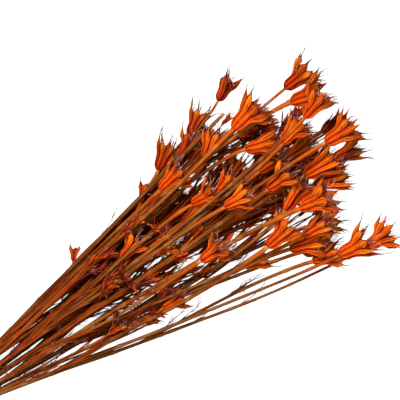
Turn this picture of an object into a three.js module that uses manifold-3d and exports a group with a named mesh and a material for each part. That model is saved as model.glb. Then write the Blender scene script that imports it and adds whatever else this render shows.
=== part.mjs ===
// A bunch of dried, orange-dyed nigella: pleated seed heads on branching stems, held by an elastic band.
// Millimetres. The bunch lies on the plane z = 0 along +X, heads towards +X, with the band at the origin.
import * as THREE from 'three';
import Module from 'manifold-3d';
import { mergeVertices } from 'three/addons/utils/BufferGeometryUtils.js';

const wasm = await Module();
wasm.setup();

// Stems and band
const STEM_RADIUS = 2.0;
const GAP = 0.3;
const SLOT_PITCH = 2 * STEM_RADIUS + GAP;
const ROW_PITCH = SLOT_PITCH * Math.sin(Math.PI / 3);
const ROW_SLOTS = [3, 4, 5, 4, 3];
const BAND_WIDTH = 7;
const BAND_WALL = 1.2;
const BAND_CORNER = 2 * SLOT_PITCH;
const BAND_MIDDLE = BAND_CORNER * Math.sin(Math.PI / 3) + STEM_RADIUS + GAP + BAND_WALL;

// Cut ends behind the band
const TAIL_LENGTH = 68;
const TAIL_UNEVEN = 9;
const TAIL_SPREAD = 1.7;
const TAIL_LIFT = 1.15;

// How the stems leave the band, and how the pile settles
const STRAIGHT = 5;
const LEAVE_X = 26;
const LEAVE_RISE = 0.85;
const LEAVE_SHARE = 0.7;
const NECK = 6;
const END_TURN = 0.5;
const MAIN_STEP = 64;
const BRANCH_STEP = 48;
const MAIN_SIDES = 5;
const BRANCH_SIDES = 6;
const STATION_APART = 9;
const BEND_APART = 2;
const DROOP = 12;
const FORK_LEAN = 8;
const FORK_BACK = 150;
const FORK_PER_MM = 2.4;
const FORK_LIMITS = [160, 290];
const FORK_FIRST = 48;
const FORK_TAPER = 0.95;
const BUD_SINK = 0.8;
const PITCH_LOW = -4;
const PITCH_PER_ROW = 2.5;
const PITCH_SPREAD = 6;
const STEM_SEED = 9000;
const HEAD_SEED = 100;

// Seed heads: shares of the head's length
const FOOT_EXTRA = 0.25;
const SHOULDER = 0.09;
const SHOULDER_RADIUS = 0.16;
const SHOULDER_VALLEY = 0.136;
const CUP_HEIGHT = 0.46;
const CUP_RADIUS = 0.25;
const VALLEY = 0.78;
const FLOOR_HEIGHT = 0.3;
const ROOT_RADIUS = 0.205;
const SIDE_LIMIT = 0.165;
const FAN_PULL = 0.06;
const OPEN_SIDE = 0.35;
const SPLIT_JOINT = [0.4, 0.5];
const FAN_JOINT = [0.58, 0.74];
const BELLY = 0.68;
const BEAK_CURL = 1.4;
const SIDE_SHARE = 0.455;
const KEEL_DEPTH = 0.62;

// Walls of the follicles in millimetres
const WALL = 0.95;
const KEEL_WALL = 1.5;
const VALLEY_WALL = 1.15;
const MARGIN = 0.25;
const TIP_HALF = 1.2;

const COLOURS = {
  stem: { color: 0x8f4a14, roughness: 0.75, metalness: 0 },
  pod: { color: 0xd8540f, roughness: 0.7, metalness: 0 },
  band: { color: 0xb9a27c, roughness: 0.6, metalness: 0 },
};

// One run of a stem, as seen from above: fan angle and reach of its end from the band, and the end's heading.
function pod(angle, reach, heading, length, follicles, flare = 22, radius = 1.5) {
  return { kind: 'pod', angle, reach, heading, length, follicles, flare, radius };
}

function bud(angle, reach, heading, length) {
  return { kind: 'bud', angle, reach, heading, length, follicles: 3, flare: 12, radius: 0.8 };
}

function cutRun(angle, reach, heading) {
  return { kind: 'cut', angle, reach, heading, length: 0, radius: 1.7 };
}

// The sprigs, bottom row first and each row from +Y to -Y. The first run of a sprig comes from the band.
const SPRIGS = [
  [pod(13.7, 357, 30, 26, 7, 18), pod(13.6, 313, 33, 28, 7, 20), bud(14, 195, 48, 14)],
  [pod(2, 408, -3, 30, 8, 16), pod(2.9, 383, 1, 27, 7, 16), pod(4.8, 356, 28, 22, 6, 16)],
  [pod(-7.2, 396, -17, 30, 8, 18), pod(-10.1, 380, -18, 32, 8, 18), pod(-8.3, 324, -15, 24, 6, 16)],
  [pod(14, 400, 28, 26, 3, 9, 1), pod(12.4, 337, 24, 24, 6, 18), bud(12, 280, 35, 18)],
  [pod(3.8, 295, 0, 22, 6, 18), pod(8.2, 293, 9, 23, 6, 18), bud(2.8, 227, -19, 18)],
  [pod(-1.3, 448, -11, 29, 7, 20), pod(-2.7, 420, -21, 33, 8, 20)],
  [pod(-12.8, 437, -1, 31, 8, 32, 1.1), pod(-11.8, 385, -20, 27, 7), bud(-11, 217, -6, 13)],
  [cutRun(12.2, 395, 11), pod(9.4, 352, 38, 28, 7), bud(7.8, 219, 30, 12)],
  [pod(9, 452, 4, 31, 8, 24, 1.2), pod(6.5, 386, -20, 31, 8)],
  [pod(-1.1, 416, -3, 34, 8), pod(4.1, 337, 16, 25, 6), bud(0.3, 268, -45, 14)],
  [pod(-3.7, 383, 23, 32, 3, 12), pod(-8.9, 370, -18, 32, 8), bud(-2.9, 252, -18, 17)],
  [pod(-8.9, 239, -4, 24, 6, 26, 1.4), bud(-8.9, 183, 2, 17)],
  [pod(10.9, 301, 9, 30, 8, 32, 1.9), pod(6, 231, 13, 26, 7, 32)],
  [pod(4, 416, 17, 27, 7), pod(5.3, 314, -5, 27, 7, 28), pod(3, 256, -3, 24, 6), bud(0.6, 297, 19, 14)],
  [pod(0.2, 380, 4, 29, 7, 28, 1.9), pod(-8, 386, -4, 28, 7)],
  [pod(-12.4, 410, -8, 34, 8, 26, 1.2), pod(-7.1, 352, 8, 33, 8, 28, 1.8)],
  [pod(7.3, 447, -15, 36, 8, 24, 1.9), pod(9.7, 390, 12, 36, 8, 28, 1.8)],
  [pod(4.8, 447, 15, 29, 7, 26), pod(0.9, 449, -3, 34, 8, 26), pod(1.7, 337, -7, 26, 7, 30)],
  [pod(-4.4, 396, -13, 34, 8, 28, 2), pod(-3.8, 291, 2, 28, 7, 30)],
];

// Seeded draws: the same numbers on every run
function makeDraw(seed) {
  let state = seed;
  return (low, high) => {
    state = (state + 0x6d2b79f5) | 0;
    let mixed = Math.imul(state ^ (state >>> 15), 1 | state);
    mixed = (mixed + Math.imul(mixed ^ (mixed >>> 7), 61 | mixed)) ^ mixed;
    return low + ((high - low) * ((mixed ^ (mixed >>> 14)) >>> 0)) / 4294967296;
  };
}

const rad = THREE.MathUtils.degToRad;

// The follicles of a head, each with its own bearing, flare, length, width and beak
// They hold together in fans of two or three, and the whole head opens more to one side.
function follicleForms(run, seed) {
  const draw = makeDraw(seed);
  const roll = draw(0, 2 * Math.PI);
  const openSide = draw(0, 2 * Math.PI);
  const fan = run.follicles > 5 ? 3 : 2;
  const forms = [];
  for (let i = 0; i < run.follicles; i += 1) {
    const place = i % fan;
    const fanSize = Math.min(fan, run.follicles - (i - place));
    const inward = ((fanSize - 1) / 2 - place) * FAN_PULL;
    const bearing = roll + ((i + inward) * 2 * Math.PI) / run.follicles;
    const opening = 1 + OPEN_SIDE * Math.cos(bearing - openSide);
    forms.push({
      bearing,
      flare: rad(run.flare * opening * draw(0.85, 1.15)),
      length: run.length * (1 - CUP_HEIGHT) * draw(0.9, 1.1),
      joint: place === fanSize - 1 ? draw(...SPLIT_JOINT) : draw(...FAN_JOINT),
      curl: rad(draw(-4, 20)),
      beak: draw(1.5, 3.5),
    });
  }
  return forms;
}

function meshFromLists(points, faces) {
  const geometry = new THREE.BufferGeometry();
  geometry.setAttribute('position', new THREE.Float32BufferAttribute(points.flatMap((p) => p.toArray()), 3));
  geometry.setIndex(faces);
  return geometry;
}

// A seed head along local +X: a pleated cup that parts into keeled, flaring follicles with beaks
function podGeometry(run, forms) {
  const count = forms.length;
  const size = run.length;
  const points = [];
  const faces = [];
  const along = new THREE.Vector3(1, 0, 0);
  const outward = (angle) => new THREE.Vector3(0, Math.cos(angle), Math.sin(angle));
  const put = (point) => points.push(point) - 1;
  const putRing = (height, radius, angle) => put(outward(angle).multiplyScalar(radius).setX(height));
  const tri = (a, b, c) => faces.push(a, b, c);
  const quad = (a, b, c, d) => faces.push(a, b, c, a, c, d);
  const between = (i) => {
    const next = i + 1 < count ? forms[i + 1].bearing : forms[0].bearing + 2 * Math.PI;
    return (forms[i].bearing + next) / 2;
  };
  const foot = put(new THREE.Vector3(0, 0, 0));
  const floor = put(new THREE.Vector3(FLOOR_HEIGHT * size, 0, 0));
  const cup = CUP_RADIUS * size;
  const keels = forms.map((form) => ({
    foot: putRing(0, run.radius + FOOT_EXTRA, form.bearing),
    shoulder: putRing(SHOULDER * size, SHOULDER_RADIUS * size, form.bearing),
    outer: putRing(CUP_HEIGHT * size, cup, form.bearing),
    inner: putRing(CUP_HEIGHT * size, cup - KEEL_WALL, form.bearing),
  }));
  const valleys = forms.map((form, i) => {
    const flare = Math.min(form.flare, forms[(i + 1) % count].flare);
    const radius = cup * VALLEY + Math.max(0, form.joint - CUP_HEIGHT) * size * Math.tan(flare);
    return {
      foot: putRing(0, run.radius + FOOT_EXTRA, between(i)),
      shoulder: putRing(SHOULDER * size, SHOULDER_VALLEY * size, between(i)),
      outer: putRing(form.joint * size, radius, between(i)),
      inner: putRing(form.joint * size, radius - VALLEY_WALL, between(i)),
    };
  });

  forms.forEach((form, i) => {
    const keel = keels[i];
    const left = valleys[(i + count - 1) % count];
    const right = valleys[i];
    for (const [from, to] of [[left, keel], [keel, right]]) {
      tri(foot, to.foot, from.foot);
      quad(from.foot, to.foot, to.shoulder, from.shoulder);
      quad(from.shoulder, to.shoulder, to.outer, from.outer);
      tri(floor, from.inner, to.inner);
    }

    const out = outward(form.bearing);
    const side = new THREE.Vector3(0, -Math.sin(form.bearing), Math.cos(form.bearing));
    const blend = (forward, outwards) => along.clone().multiplyScalar(forward).addScaledVector(out, outwards);
    const heading = (angle) => blend(Math.cos(angle), Math.sin(angle));
    const normal = (angle) => blend(-Math.sin(angle), Math.cos(angle));
    const root = out.clone().multiplyScalar(ROOT_RADIUS * size).setX(CUP_HEIGHT * size);
    const belly = root.clone().addScaledVector(heading(form.flare), BELLY * form.length);
    const spacing = (2 * Math.PI * belly.clone().setX(0).length()) / count;
    const halfWidth = Math.min(SIDE_SHARE * spacing, SIDE_LIMIT * size);
    const keelDepth = KEEL_DEPTH * halfWidth;
    const tip = belly.clone().addScaledVector(heading(form.flare + form.curl), (1 - BELLY) * form.length);
    const up = normal(form.flare);
    const tipUp = normal(form.flare + form.curl);
    const at = (centre, sideways, vector, lift) =>
      put(centre.clone().addScaledVector(side, sideways).addScaledVector(vector, lift));
    const bellyLeft = at(belly, -halfWidth, up, 0);
    const bellyKeel = at(belly, 0, up, keelDepth);
    const bellyRight = at(belly, halfWidth, up, 0);
    const innerLeft = at(belly, -halfWidth + MARGIN, up, -WALL);
    const innerKeel = at(belly, 0, up, keelDepth - WALL);
    const innerRight = at(belly, halfWidth - MARGIN, up, -WALL);
    const tipLeft = at(tip, -TIP_HALF, tipUp, -TIP_HALF / 2);
    const tipKeel = at(tip, 0, tipUp, TIP_HALF);
    const tipRight = at(tip, TIP_HALF, tipUp, -TIP_HALF / 2);
    const beakWay = heading(form.flare + BEAK_CURL * form.curl);
    const beak = at(tip.clone().addScaledVector(beakWay, form.beak), 0, tipUp, 0);

    quad(left.outer, keel.outer, bellyKeel, bellyLeft);
    quad(keel.outer, right.outer, bellyRight, bellyKeel);
    quad(bellyLeft, bellyKeel, tipKeel, tipLeft);
    quad(bellyKeel, bellyRight, tipRight, tipKeel);
    tri(tipLeft, tipKeel, beak);
    tri(tipKeel, tipRight, beak);
    tri(tipRight, tipLeft, beak);
    quad(keel.inner, left.inner, innerLeft, innerKeel);
    quad(right.inner, keel.inner, innerKeel, innerRight);
    tri(innerKeel, innerLeft, tipLeft);
    tri(innerRight, innerKeel, tipRight);
    tri(innerKeel, tipLeft, tipRight);
    quad(left.inner, left.outer, bellyLeft, innerLeft);
    tri(innerLeft, bellyLeft, tipLeft);
    quad(right.outer, right.inner, innerRight, bellyRight);
    tri(bellyRight, innerRight, tipRight);
  });
  return meshFromLists(points, faces);
}

// The pile's top surface from above, on a fine grid, so that each run can be laid on what is below it
const CELL = 0.5;
const FIELD = { x: -100, y: -150, columns: 1300, rows: 600 };

function makeField() {
  return new Float32Array(FIELD.columns * FIELD.rows);
}

function cellOf(x, y) {
  const column = Math.floor((x - FIELD.x) / CELL);
  const row = Math.floor((y - FIELD.y) / CELL);
  return row * FIELD.columns + column;
}

function stamp(field, x, y, top) {
  const middle = cellOf(x, y);
  for (let row = -1; row <= 1; row += 1) {
    for (let column = -1; column <= 1; column += 1) {
      const cell = middle + row * FIELD.columns + column;
      field[cell] = Math.max(field[cell], top);
    }
  }
}

function topOf(fields, x, y) {
  const cell = cellOf(x, y);
  return Math.max(...fields.map((field) => field[cell]));
}

// Offsets across a round stem and how far its skin lies above or below its middle there
function acrossStem(radius) {
  const offsets = [];
  const steps = Math.ceil((2 * radius) / CELL);
  for (let i = 0; i <= steps; i += 1) {
    const offset = -radius + (2 * radius * i) / steps;
    offsets.push([offset, Math.sqrt(Math.max(0, radius * radius - offset * offset))]);
  }
  return offsets;
}

const LAY_GAP = 0.5;

function layStem(fields, sample) {
  let height = sample.radius + LAY_GAP;
  for (const [offset, drop] of acrossStem(sample.radius)) {
    const x = sample.x - sample.dy * offset;
    const y = sample.y + sample.dx * offset;
    height = Math.max(height, topOf(fields, x, y) + LAY_GAP + drop);
  }
  return height;
}

function stampStem(field, sample) {
  for (const [offset, rise] of acrossStem(sample.radius)) {
    stamp(field, sample.x - sample.dy * offset, sample.y + sample.dx * offset, sample.z + rise);
  }
}

// Points all over a mesh, close enough together for the grid
function skinPoints(geometry, matrix) {
  const position = geometry.getAttribute('position');
  const index = geometry.getIndex();
  const corner = (i) => new THREE.Vector3().fromBufferAttribute(position, index.getX(i)).applyMatrix4(matrix);
  const skin = [];
  for (let i = 0; i < index.count; i += 3) {
    const [a, b, c] = [corner(i), corner(i + 1), corner(i + 2)];
    const steps = Math.ceil(Math.max(a.distanceTo(b), b.distanceTo(c), c.distanceTo(a)) / CELL);
    for (let u = 0; u <= steps; u += 1) {
      for (let v = 0; v <= steps - u; v += 1) {
        const point = a.clone().multiplyScalar((steps - u - v) / steps);
        skin.push(point.addScaledVector(b, u / steps).addScaledVector(c, v / steps));
      }
    }
  }
  return skin;
}

// The line that a stem takes over its supports: taut over the highest of them, as a stiff stem spans
function tautLine(supports) {
  const line = [];
  for (const point of supports) {
    while (line.length > 1) {
      const [a, b] = line.slice(-2);
      if ((b.z - a.z) * (point.s - a.s) > (point.z - a.z) * (b.s - a.s)) {
        break;
      }
      line.pop();
    }
    line.push(point);
  }
  return line;
}

function heightOn(line, s) {
  const next = Math.max(1, line.findIndex((point) => point.s >= s));
  const [a, b] = [line[next - 1], line[next]];
  return a.z + ((b.z - a.z) * (s - a.s)) / (b.s - a.s);
}

// A smooth plan from one point and heading to another, as samples with heading and running length
function planRun(from, fromHeading, to, toHeading, radiusFrom, radiusTo) {
  const span = Math.hypot(to.x - from.x, to.y - from.y);
  const pull = span / 3;
  const curve = new THREE.CubicBezierCurve(
    from,
    new THREE.Vector2(from.x + pull * Math.cos(fromHeading), from.y + pull * Math.sin(fromHeading)),
    new THREE.Vector2(to.x - pull * Math.cos(toHeading), to.y - pull * Math.sin(toHeading)),
    to,
  );
  const steps = Math.ceil(span / CELL);
  const samples = [];
  for (let i = 0; i <= steps; i += 1) {
    const point = curve.getPoint(i / steps);
    const tangent = curve.getTangent(i / steps);
    const last = samples.at(-1);
    const s = last ? last.s + Math.hypot(point.x - last.x, point.y - last.y) : 0;
    const radius = THREE.MathUtils.lerp(radiusFrom, radiusTo, i / steps);
    samples.push({ x: point.x, y: point.y, dx: tangent.x, dy: tangent.y, s, radius });
  }
  return samples;
}

// A tapered round stem through its stations, closed at both ends
function stemGeometry(stations, sides) {
  const geometry = new THREE.CylinderGeometry(1, 1, 1, sides, stations.length - 1);
  const position = geometry.getAttribute('position');
  const point = new THREE.Vector3();
  for (let i = 0; i < position.count; i += 1) {
    point.fromBufferAttribute(position, i);
    const index = Math.round((point.y + 0.5) * (stations.length - 1));
    const here = stations[index].at;
    const before = stations[Math.max(0, index - 1)].at;
    const after = stations[Math.min(stations.length - 1, index + 1)].at;
    const tangent = stations[index].tangent ?? after.clone().sub(before).normalize();
    const level = new THREE.Vector3().crossVectors(tangent, new THREE.Vector3(0, 0, 1)).normalize();
    const upright = new THREE.Vector3().crossVectors(level, tangent);
    const { radius } = stations[index];
    const moved = here.clone().addScaledVector(level, point.x * radius);
    moved.addScaledVector(upright, point.z * radius);
    position.setXYZ(i, moved.x, moved.y, moved.z);
  }
  return geometry;
}

function solidOf(geometry) {
  geometry.deleteAttribute('normal');
  geometry.deleteAttribute('uv');
  const merged = mergeVertices(geometry, 1e-4);
  const vertProperties = Float32Array.from(merged.getAttribute('position').array);
  const triVerts = Uint32Array.from(merged.getIndex().array);
  return new wasm.Manifold(new wasm.Mesh({ numProp: 3, vertProperties, triVerts }));
}

function geometryOf(solid) {
  const { vertProperties, triVerts } = solid.getMesh();
  const geometry = new THREE.BufferGeometry();
  geometry.setAttribute('position', new THREE.BufferAttribute(vertProperties, 3));
  geometry.setIndex(new THREE.BufferAttribute(triVerts, 1));
  geometry.computeVertexNormals();
  return geometry;
}

const bunch = new THREE.Group();

function addPiece(name, kind, geometry) {
  const mesh = new THREE.Mesh(geometry, new THREE.MeshStandardMaterial(COLOURS[kind]));
  mesh.name = name;
  bunch.add(mesh);
  return mesh;
}

// Slots of the stems in the band: five rows of a close-packed hexagon
const slots = [];
ROW_SLOTS.forEach((slotCount, row) => {
  for (let i = 0; i < slotCount; i += 1) {
    slots.push({ row, y: ((slotCount - 1) / 2 - i) * SLOT_PITCH, z: BAND_MIDDLE + (row - 2) * ROW_PITCH });
  }
});

const pile = makeField();
let podCount = 0;

// Lays a run's seed head or bud on the pile, and gives the height of its foot
function seatHead(run, geometry, turn, fields) {
  const skin = skinPoints(geometry, turn);
  let height = -Math.min(...skin.map((point) => point.z));
  for (const point of skin) {
    const below = topOf(fields, point.x, point.y);
    height = below > 0 ? Math.max(height, below + LAY_GAP - point.z) : height;
  }
  return { skin, height };
}

function laySprig(index, runs) {
  const slot = slots[index];
  const draw = makeDraw(STEM_SEED + index);
  const ownStems = makeField();
  const ownHeads = makeField();
  const solids = [];
  let main = null;

  runs.forEach((run, order) => {
    const end = new THREE.Vector2(run.reach * Math.cos(rad(run.angle)), run.reach * Math.sin(rad(run.angle)));
    const heading = rad(run.heading);
    const pitch = rad(PITCH_LOW + PITCH_PER_ROW * slot.row + draw(-PITCH_SPREAD, PITCH_SPREAD));
    const axis = new THREE.Vector3(
      Math.cos(pitch) * Math.cos(heading),
      Math.cos(pitch) * Math.sin(heading),
      Math.sin(pitch),
    );
    const neck = new THREE.Vector2(end.x - NECK * axis.x, end.y - NECK * axis.y);

    let start = { x: LEAVE_X, y: slot.y, heading: 0, radius: STEM_RADIUS, z: slot.z + LEAVE_RISE * slot.row };
    if (main) {
      const away = Math.min(...main.map((sample) => Math.hypot(sample.x - end.x, sample.y - end.y)));
      const back = THREE.MathUtils.clamp(FORK_BACK + FORK_PER_MM * away, ...FORK_LIMITS);
      const fork = main.find((sample) => sample.x >= Math.max(FORK_FIRST, end.x - back));
      const mainHeading = Math.atan2(fork.dy, fork.dx);
      const towards = Math.atan2(end.y - fork.y, end.x - fork.x);
      const aside = towards - mainHeading;
      const lean = Math.max(rad(FORK_LEAN), Math.abs(aside)) * Math.sign(aside);
      const radius = FORK_TAPER * Math.min(fork.radius, run.radius);
      start = { ...fork, heading: mainHeading + lean, radius };
    } else {
      const fan = Math.atan2(end.y - slot.y, end.x - STRAIGHT);
      start.y = slot.y + Math.tan(fan) * LEAVE_SHARE * (LEAVE_X - STRAIGHT);
      start.heading = fan;
    }

    const chord = Math.atan2(neck.y - start.y, neck.x - start.x);
    const endHeading = chord + END_TURN * (heading - chord);
    const from = new THREE.Vector2(start.x, start.y);
    const plan = planRun(from, start.heading, neck, endHeading, start.radius, run.radius);

    // Seat the head first, on everything below it
    const turn = new THREE.Matrix4().makeRotationFromEuler(new THREE.Euler(0, -pitch, heading, 'ZYX'));
    turn.setPosition(end.x, end.y, 0);
    let headGeometry = null;
    let seat = { skin: [], height: 0 };
    if (run.kind === 'cut') {
      const last = { ...plan.at(-1), x: end.x, y: end.y };
      seat.height = layStem([pile, ownStems, ownHeads], last);
    } else {
      headGeometry = podGeometry(run, follicleForms(run, HEAD_SEED * index + order + 1));
      seat = seatHead(run, headGeometry, turn, [pile, ownStems, ownHeads]);
    }

    // Then the stem, taut from where it starts to the foot of the head
    const neckPoint = { s: plan.at(-1).s, z: seat.height - NECK * axis.z };
    const supports = plan.map((sample) => ({ s: sample.s, z: layStem([pile, ownHeads], sample) }));
    supports[0] = { s: 0, z: start.z };
    for (const support of supports) {
      neckPoint.z = Math.max(neckPoint.z, support.z - Math.tan(rad(DROOP)) * (neckPoint.s - support.s));
    }
    supports[supports.length - 1] = neckPoint;
    const line = tautLine(supports);
    const footHeight = neckPoint.z + NECK * axis.z;
    for (const sample of plan) {
      sample.z = heightOn(line, sample.s);
    }

    // Stations: every so often along the plan, and wherever the stem bends over a support
    const ending = plan.at(-1).s;
    const stationCount = Math.ceil(ending / (main ? BRANCH_STEP : MAIN_STEP));
    const marks = [0, ending];
    const addMark = (s, apart) => {
      if (marks.every((mark) => Math.abs(mark - s) > apart)) {
        marks.push(s);
      }
    };
    line.forEach((point) => addMark(point.s, BEND_APART));
    for (let i = 1; i < stationCount; i += 1) {
      addMark((ending * i) / stationCount, STATION_APART);
    }
    marks.sort((a, b) => a - b);
    const stations = [];
    if (!main) {
      const tail = -(TAIL_LENGTH + draw(-TAIL_UNEVEN, TAIL_UNEVEN));
      const tailZ = BAND_MIDDLE + (slot.z - BAND_MIDDLE) * TAIL_LIFT;
      stations.push({ at: new THREE.Vector3(tail, slot.y * TAIL_SPREAD, tailZ), radius: STEM_RADIUS });
      stations.push({ at: new THREE.Vector3(-STRAIGHT, slot.y, slot.z), radius: STEM_RADIUS });
      stations.push({ at: new THREE.Vector3(STRAIGHT, slot.y, slot.z), radius: STEM_RADIUS });
    }
    for (const mark of marks) {
      const sample = plan.find((candidate) => candidate.s >= mark) ?? plan.at(-1);
      stations.push({ at: new THREE.Vector3(sample.x, sample.y, sample.z), radius: sample.radius });
    }
    const foot = new THREE.Vector3(end.x, end.y, footHeight);
    const reachIn = run.kind === 'pod' ? -GAP : BUD_SINK;
    stations.push({ at: foot.clone().addScaledVector(axis, reachIn), radius: run.radius, tangent: axis });
    solids.push(solidOf(stemGeometry(stations, main ? BRANCH_SIDES : MAIN_SIDES)));

    for (const sample of plan) {
      stampStem(ownStems, sample);
    }
    for (const point of seat.skin) {
      stamp(ownHeads, point.x, point.y, point.z + footHeight);
    }
    if (run.kind === 'bud') {
      turn.setPosition(foot);
      solids.push(solidOf(headGeometry.clone().applyMatrix4(turn)));
    }
    if (run.kind === 'pod') {
      podCount += 1;
      headGeometry.computeVertexNormals();
      const piece = addPiece(`pod_${String(podCount).padStart(2, '0')}`, 'pod', headGeometry);
      piece.position.copy(foot);
      piece.rotation.set(0, -pitch, heading, 'ZYX');
    }
    main = main ?? plan;
  });

  for (let i = 0; i < pile.length; i += 1) {
    pile[i] = Math.max(pile[i], ownStems[i], ownHeads[i]);
  }
  const joined = solids.reduce((whole, solid) => whole.add(solid));
  addPiece(`stem_${String(index + 1).padStart(2, '0')}`, 'stem', geometryOf(joined));
}

SPRIGS.forEach((runs, index) => laySprig(index, runs));

// The elastic band: a ring of even wall round the hexagon of stems, flat where it rests
function bandOutline(path, radius, clockwise) {
  for (let i = 0; i < 6; i += 1) {
    const k = clockwise ? 5 - i : i;
    const middle = (k * Math.PI) / 3;
    const from = middle + (clockwise ? Math.PI / 6 : -Math.PI / 6);
    const to = middle + (clockwise ? -Math.PI / 6 : Math.PI / 6);
    path.absarc(BAND_CORNER * Math.cos(middle), BAND_CORNER * Math.sin(middle), radius, from, to, clockwise);
  }
  path.closePath();
  return path;
}

const outline = bandOutline(new THREE.Shape(), STEM_RADIUS + GAP + BAND_WALL, false);
outline.holes.push(bandOutline(new THREE.Path(), STEM_RADIUS + GAP, true));
const bandSize = { depth: BAND_WIDTH, bevelEnabled: false, curveSegments: 3 };
const band = addPiece('band', 'band', new THREE.ExtrudeGeometry(outline, bandSize));
band.rotation.set(Math.PI / 2, Math.PI / 2, 0);
band.position.set(-BAND_WIDTH / 2, 0, BAND_MIDDLE);

export default bunch;
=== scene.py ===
import math

import bmesh
import bpy
import numpy as np
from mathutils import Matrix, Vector


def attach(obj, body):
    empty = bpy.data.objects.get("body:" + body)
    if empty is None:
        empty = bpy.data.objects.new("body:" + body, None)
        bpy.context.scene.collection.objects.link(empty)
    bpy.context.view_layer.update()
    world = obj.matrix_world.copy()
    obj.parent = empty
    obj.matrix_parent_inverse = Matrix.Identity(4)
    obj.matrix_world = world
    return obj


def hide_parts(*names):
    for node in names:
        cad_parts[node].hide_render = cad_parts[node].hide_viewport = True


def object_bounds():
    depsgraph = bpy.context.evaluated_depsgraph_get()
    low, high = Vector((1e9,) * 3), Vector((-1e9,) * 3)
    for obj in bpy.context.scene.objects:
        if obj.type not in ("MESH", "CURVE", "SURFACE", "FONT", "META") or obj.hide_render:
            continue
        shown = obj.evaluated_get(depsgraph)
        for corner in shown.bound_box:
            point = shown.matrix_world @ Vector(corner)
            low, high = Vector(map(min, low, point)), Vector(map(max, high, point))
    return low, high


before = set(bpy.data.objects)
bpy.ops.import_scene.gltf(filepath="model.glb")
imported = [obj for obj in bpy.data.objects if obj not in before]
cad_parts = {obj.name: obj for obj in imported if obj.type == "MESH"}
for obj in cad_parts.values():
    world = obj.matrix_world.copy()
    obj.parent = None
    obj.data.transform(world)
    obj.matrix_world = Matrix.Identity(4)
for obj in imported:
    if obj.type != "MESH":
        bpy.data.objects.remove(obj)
cad_low, cad_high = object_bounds()


# Seed heads
# Each large head is one dried, dyed fruit. Its three to eight follicles are grown together for the lower
# half into a pleated cup, and are free and flaring above. They are papery, with a ridge on each back and
# a dark seam between them.
MM = 0.001
# How the solids were drawn: tilt of the heads in degrees, tails of the stems in millimetres, seeds
PITCH_LOW = -4
PITCH_PER_ROW = 2.5
PITCH_SPREAD = 6
TAIL_LENGTH = 68
TAIL_UNEVEN = 9
STEM_SEED = 9000
HEAD_SEED = 100
ROW_SLOTS = (3, 4, 5, 4, 3)
# Sizes of a head, mostly as shares of its length, and the limits of what changes from follicle to follicle
FOOT_EXTRA = 0.25
SHOULDER = 0.09
SHOULDER_RADIUS = 0.16
SHOULDER_VALLEY = 0.136
CUP_HEIGHT = 0.46
CUP_RADIUS = 0.25
VALLEY = 0.78
ROOT_RADIUS = 0.205
SIDE_LIMIT = 0.2
SIDE_SHARE = 0.455
KEEL_DEPTH = 0.62
FAN_PULL = 0.06
OPEN_SIDE = 0.35
FLARE_CHANGE = (0.85, 1.15)
LENGTH_CHANGE = (0.9, 1.1)
SPLIT_JOINT = (0.4, 0.5)
FAN_JOINT = (0.58, 0.74)
CURL = (-4, 20)
BELLY = 0.68
TIP_HALF = 1.2


def pod(angle, reach, heading, length, follicles, flare=22, radius=1.5):
    return dict(kind="pod", angle=angle, reach=reach, heading=heading, length=length,
                follicles=follicles, flare=flare, radius=radius)


def bud(angle, reach, heading, length):
    return dict(kind="bud", angle=angle, reach=reach, heading=heading, length=length,
                follicles=3, flare=12, radius=0.8)


def cut_run(angle, reach, heading):
    return dict(kind="cut", angle=angle, reach=reach, heading=heading, length=0, radius=1.7)


# The sprigs of the bunch, bottom row first. Each run has the fan angle and reach of its end from the band,
# the heading of its end, then the head's length, follicles, flare and the stem's radius at its foot.
SPRIGS = [
    [pod(13.7, 357, 30, 26, 7, 18), pod(13.6, 313, 33, 28, 7, 20), bud(14, 195, 48, 14)],
    [pod(2, 408, -3, 30, 8, 16), pod(2.9, 383, 1, 27, 7, 16), pod(4.8, 356, 28, 22, 6, 16)],
    [pod(-7.2, 396, -17, 30, 8, 18), pod(-10.1, 380, -18, 32, 8, 18), pod(-8.3, 324, -15, 24, 6, 16)],
    [pod(14, 400, 28, 26, 3, 9, 1), pod(12.4, 337, 24, 24, 6, 18), bud(12, 280, 35, 18)],
    [pod(3.8, 295, 0, 22, 6, 18), pod(8.2, 293, 9, 23, 6, 18), bud(2.8, 227, -19, 18)],
    [pod(-1.3, 448, -11, 29, 7, 20), pod(-2.7, 420, -21, 33, 8, 20)],
    [pod(-12.8, 437, -1, 31, 8, 32, 1.1), pod(-11.8, 385, -20, 27, 7), bud(-11, 217, -6, 13)],
    [cut_run(12.2, 395, 11), pod(9.4, 352, 38, 28, 7), bud(7.8, 219, 30, 12)],
    [pod(9, 452, 4, 31, 8, 24, 1.2), pod(6.5, 386, -20, 31, 8)],
    [pod(-1.1, 416, -3, 34, 8), pod(4.1, 337, 16, 25, 6), bud(0.3, 268, -45, 14)],
    [pod(-3.7, 383, 23, 32, 3, 12), pod(-8.9, 370, -18, 32, 8), bud(-2.9, 252, -18, 17)],
    [pod(-8.9, 239, -4, 24, 6, 26, 1.4), bud(-8.9, 183, 2, 17)],
    [pod(10.9, 301, 9, 30, 8, 32, 1.9), pod(6, 231, 13, 26, 7, 32)],
    [pod(4, 416, 17, 27, 7), pod(5.3, 314, -5, 27, 7, 28), pod(3, 256, -3, 24, 6), bud(0.6, 297, 19, 14)],
    [pod(0.2, 380, 4, 29, 7, 28, 1.9), pod(-8, 386, -4, 28, 7)],
    [pod(-12.4, 410, -8, 34, 8, 26, 1.2), pod(-7.1, 352, 8, 33, 8, 28, 1.8)],
    [pod(7.3, 447, -15, 36, 8, 24, 1.9), pod(9.7, 390, 12, 36, 8, 28, 1.8)],
    [pod(4.8, 447, 15, 29, 7, 26), pod(0.9, 449, -3, 34, 8, 26), pod(1.7, 337, -7, 26, 7, 30)],
    [pod(-4.4, 396, -13, 34, 8, 28, 2), pod(-3.8, 291, 2, 28, 7, 30)],
]


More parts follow.
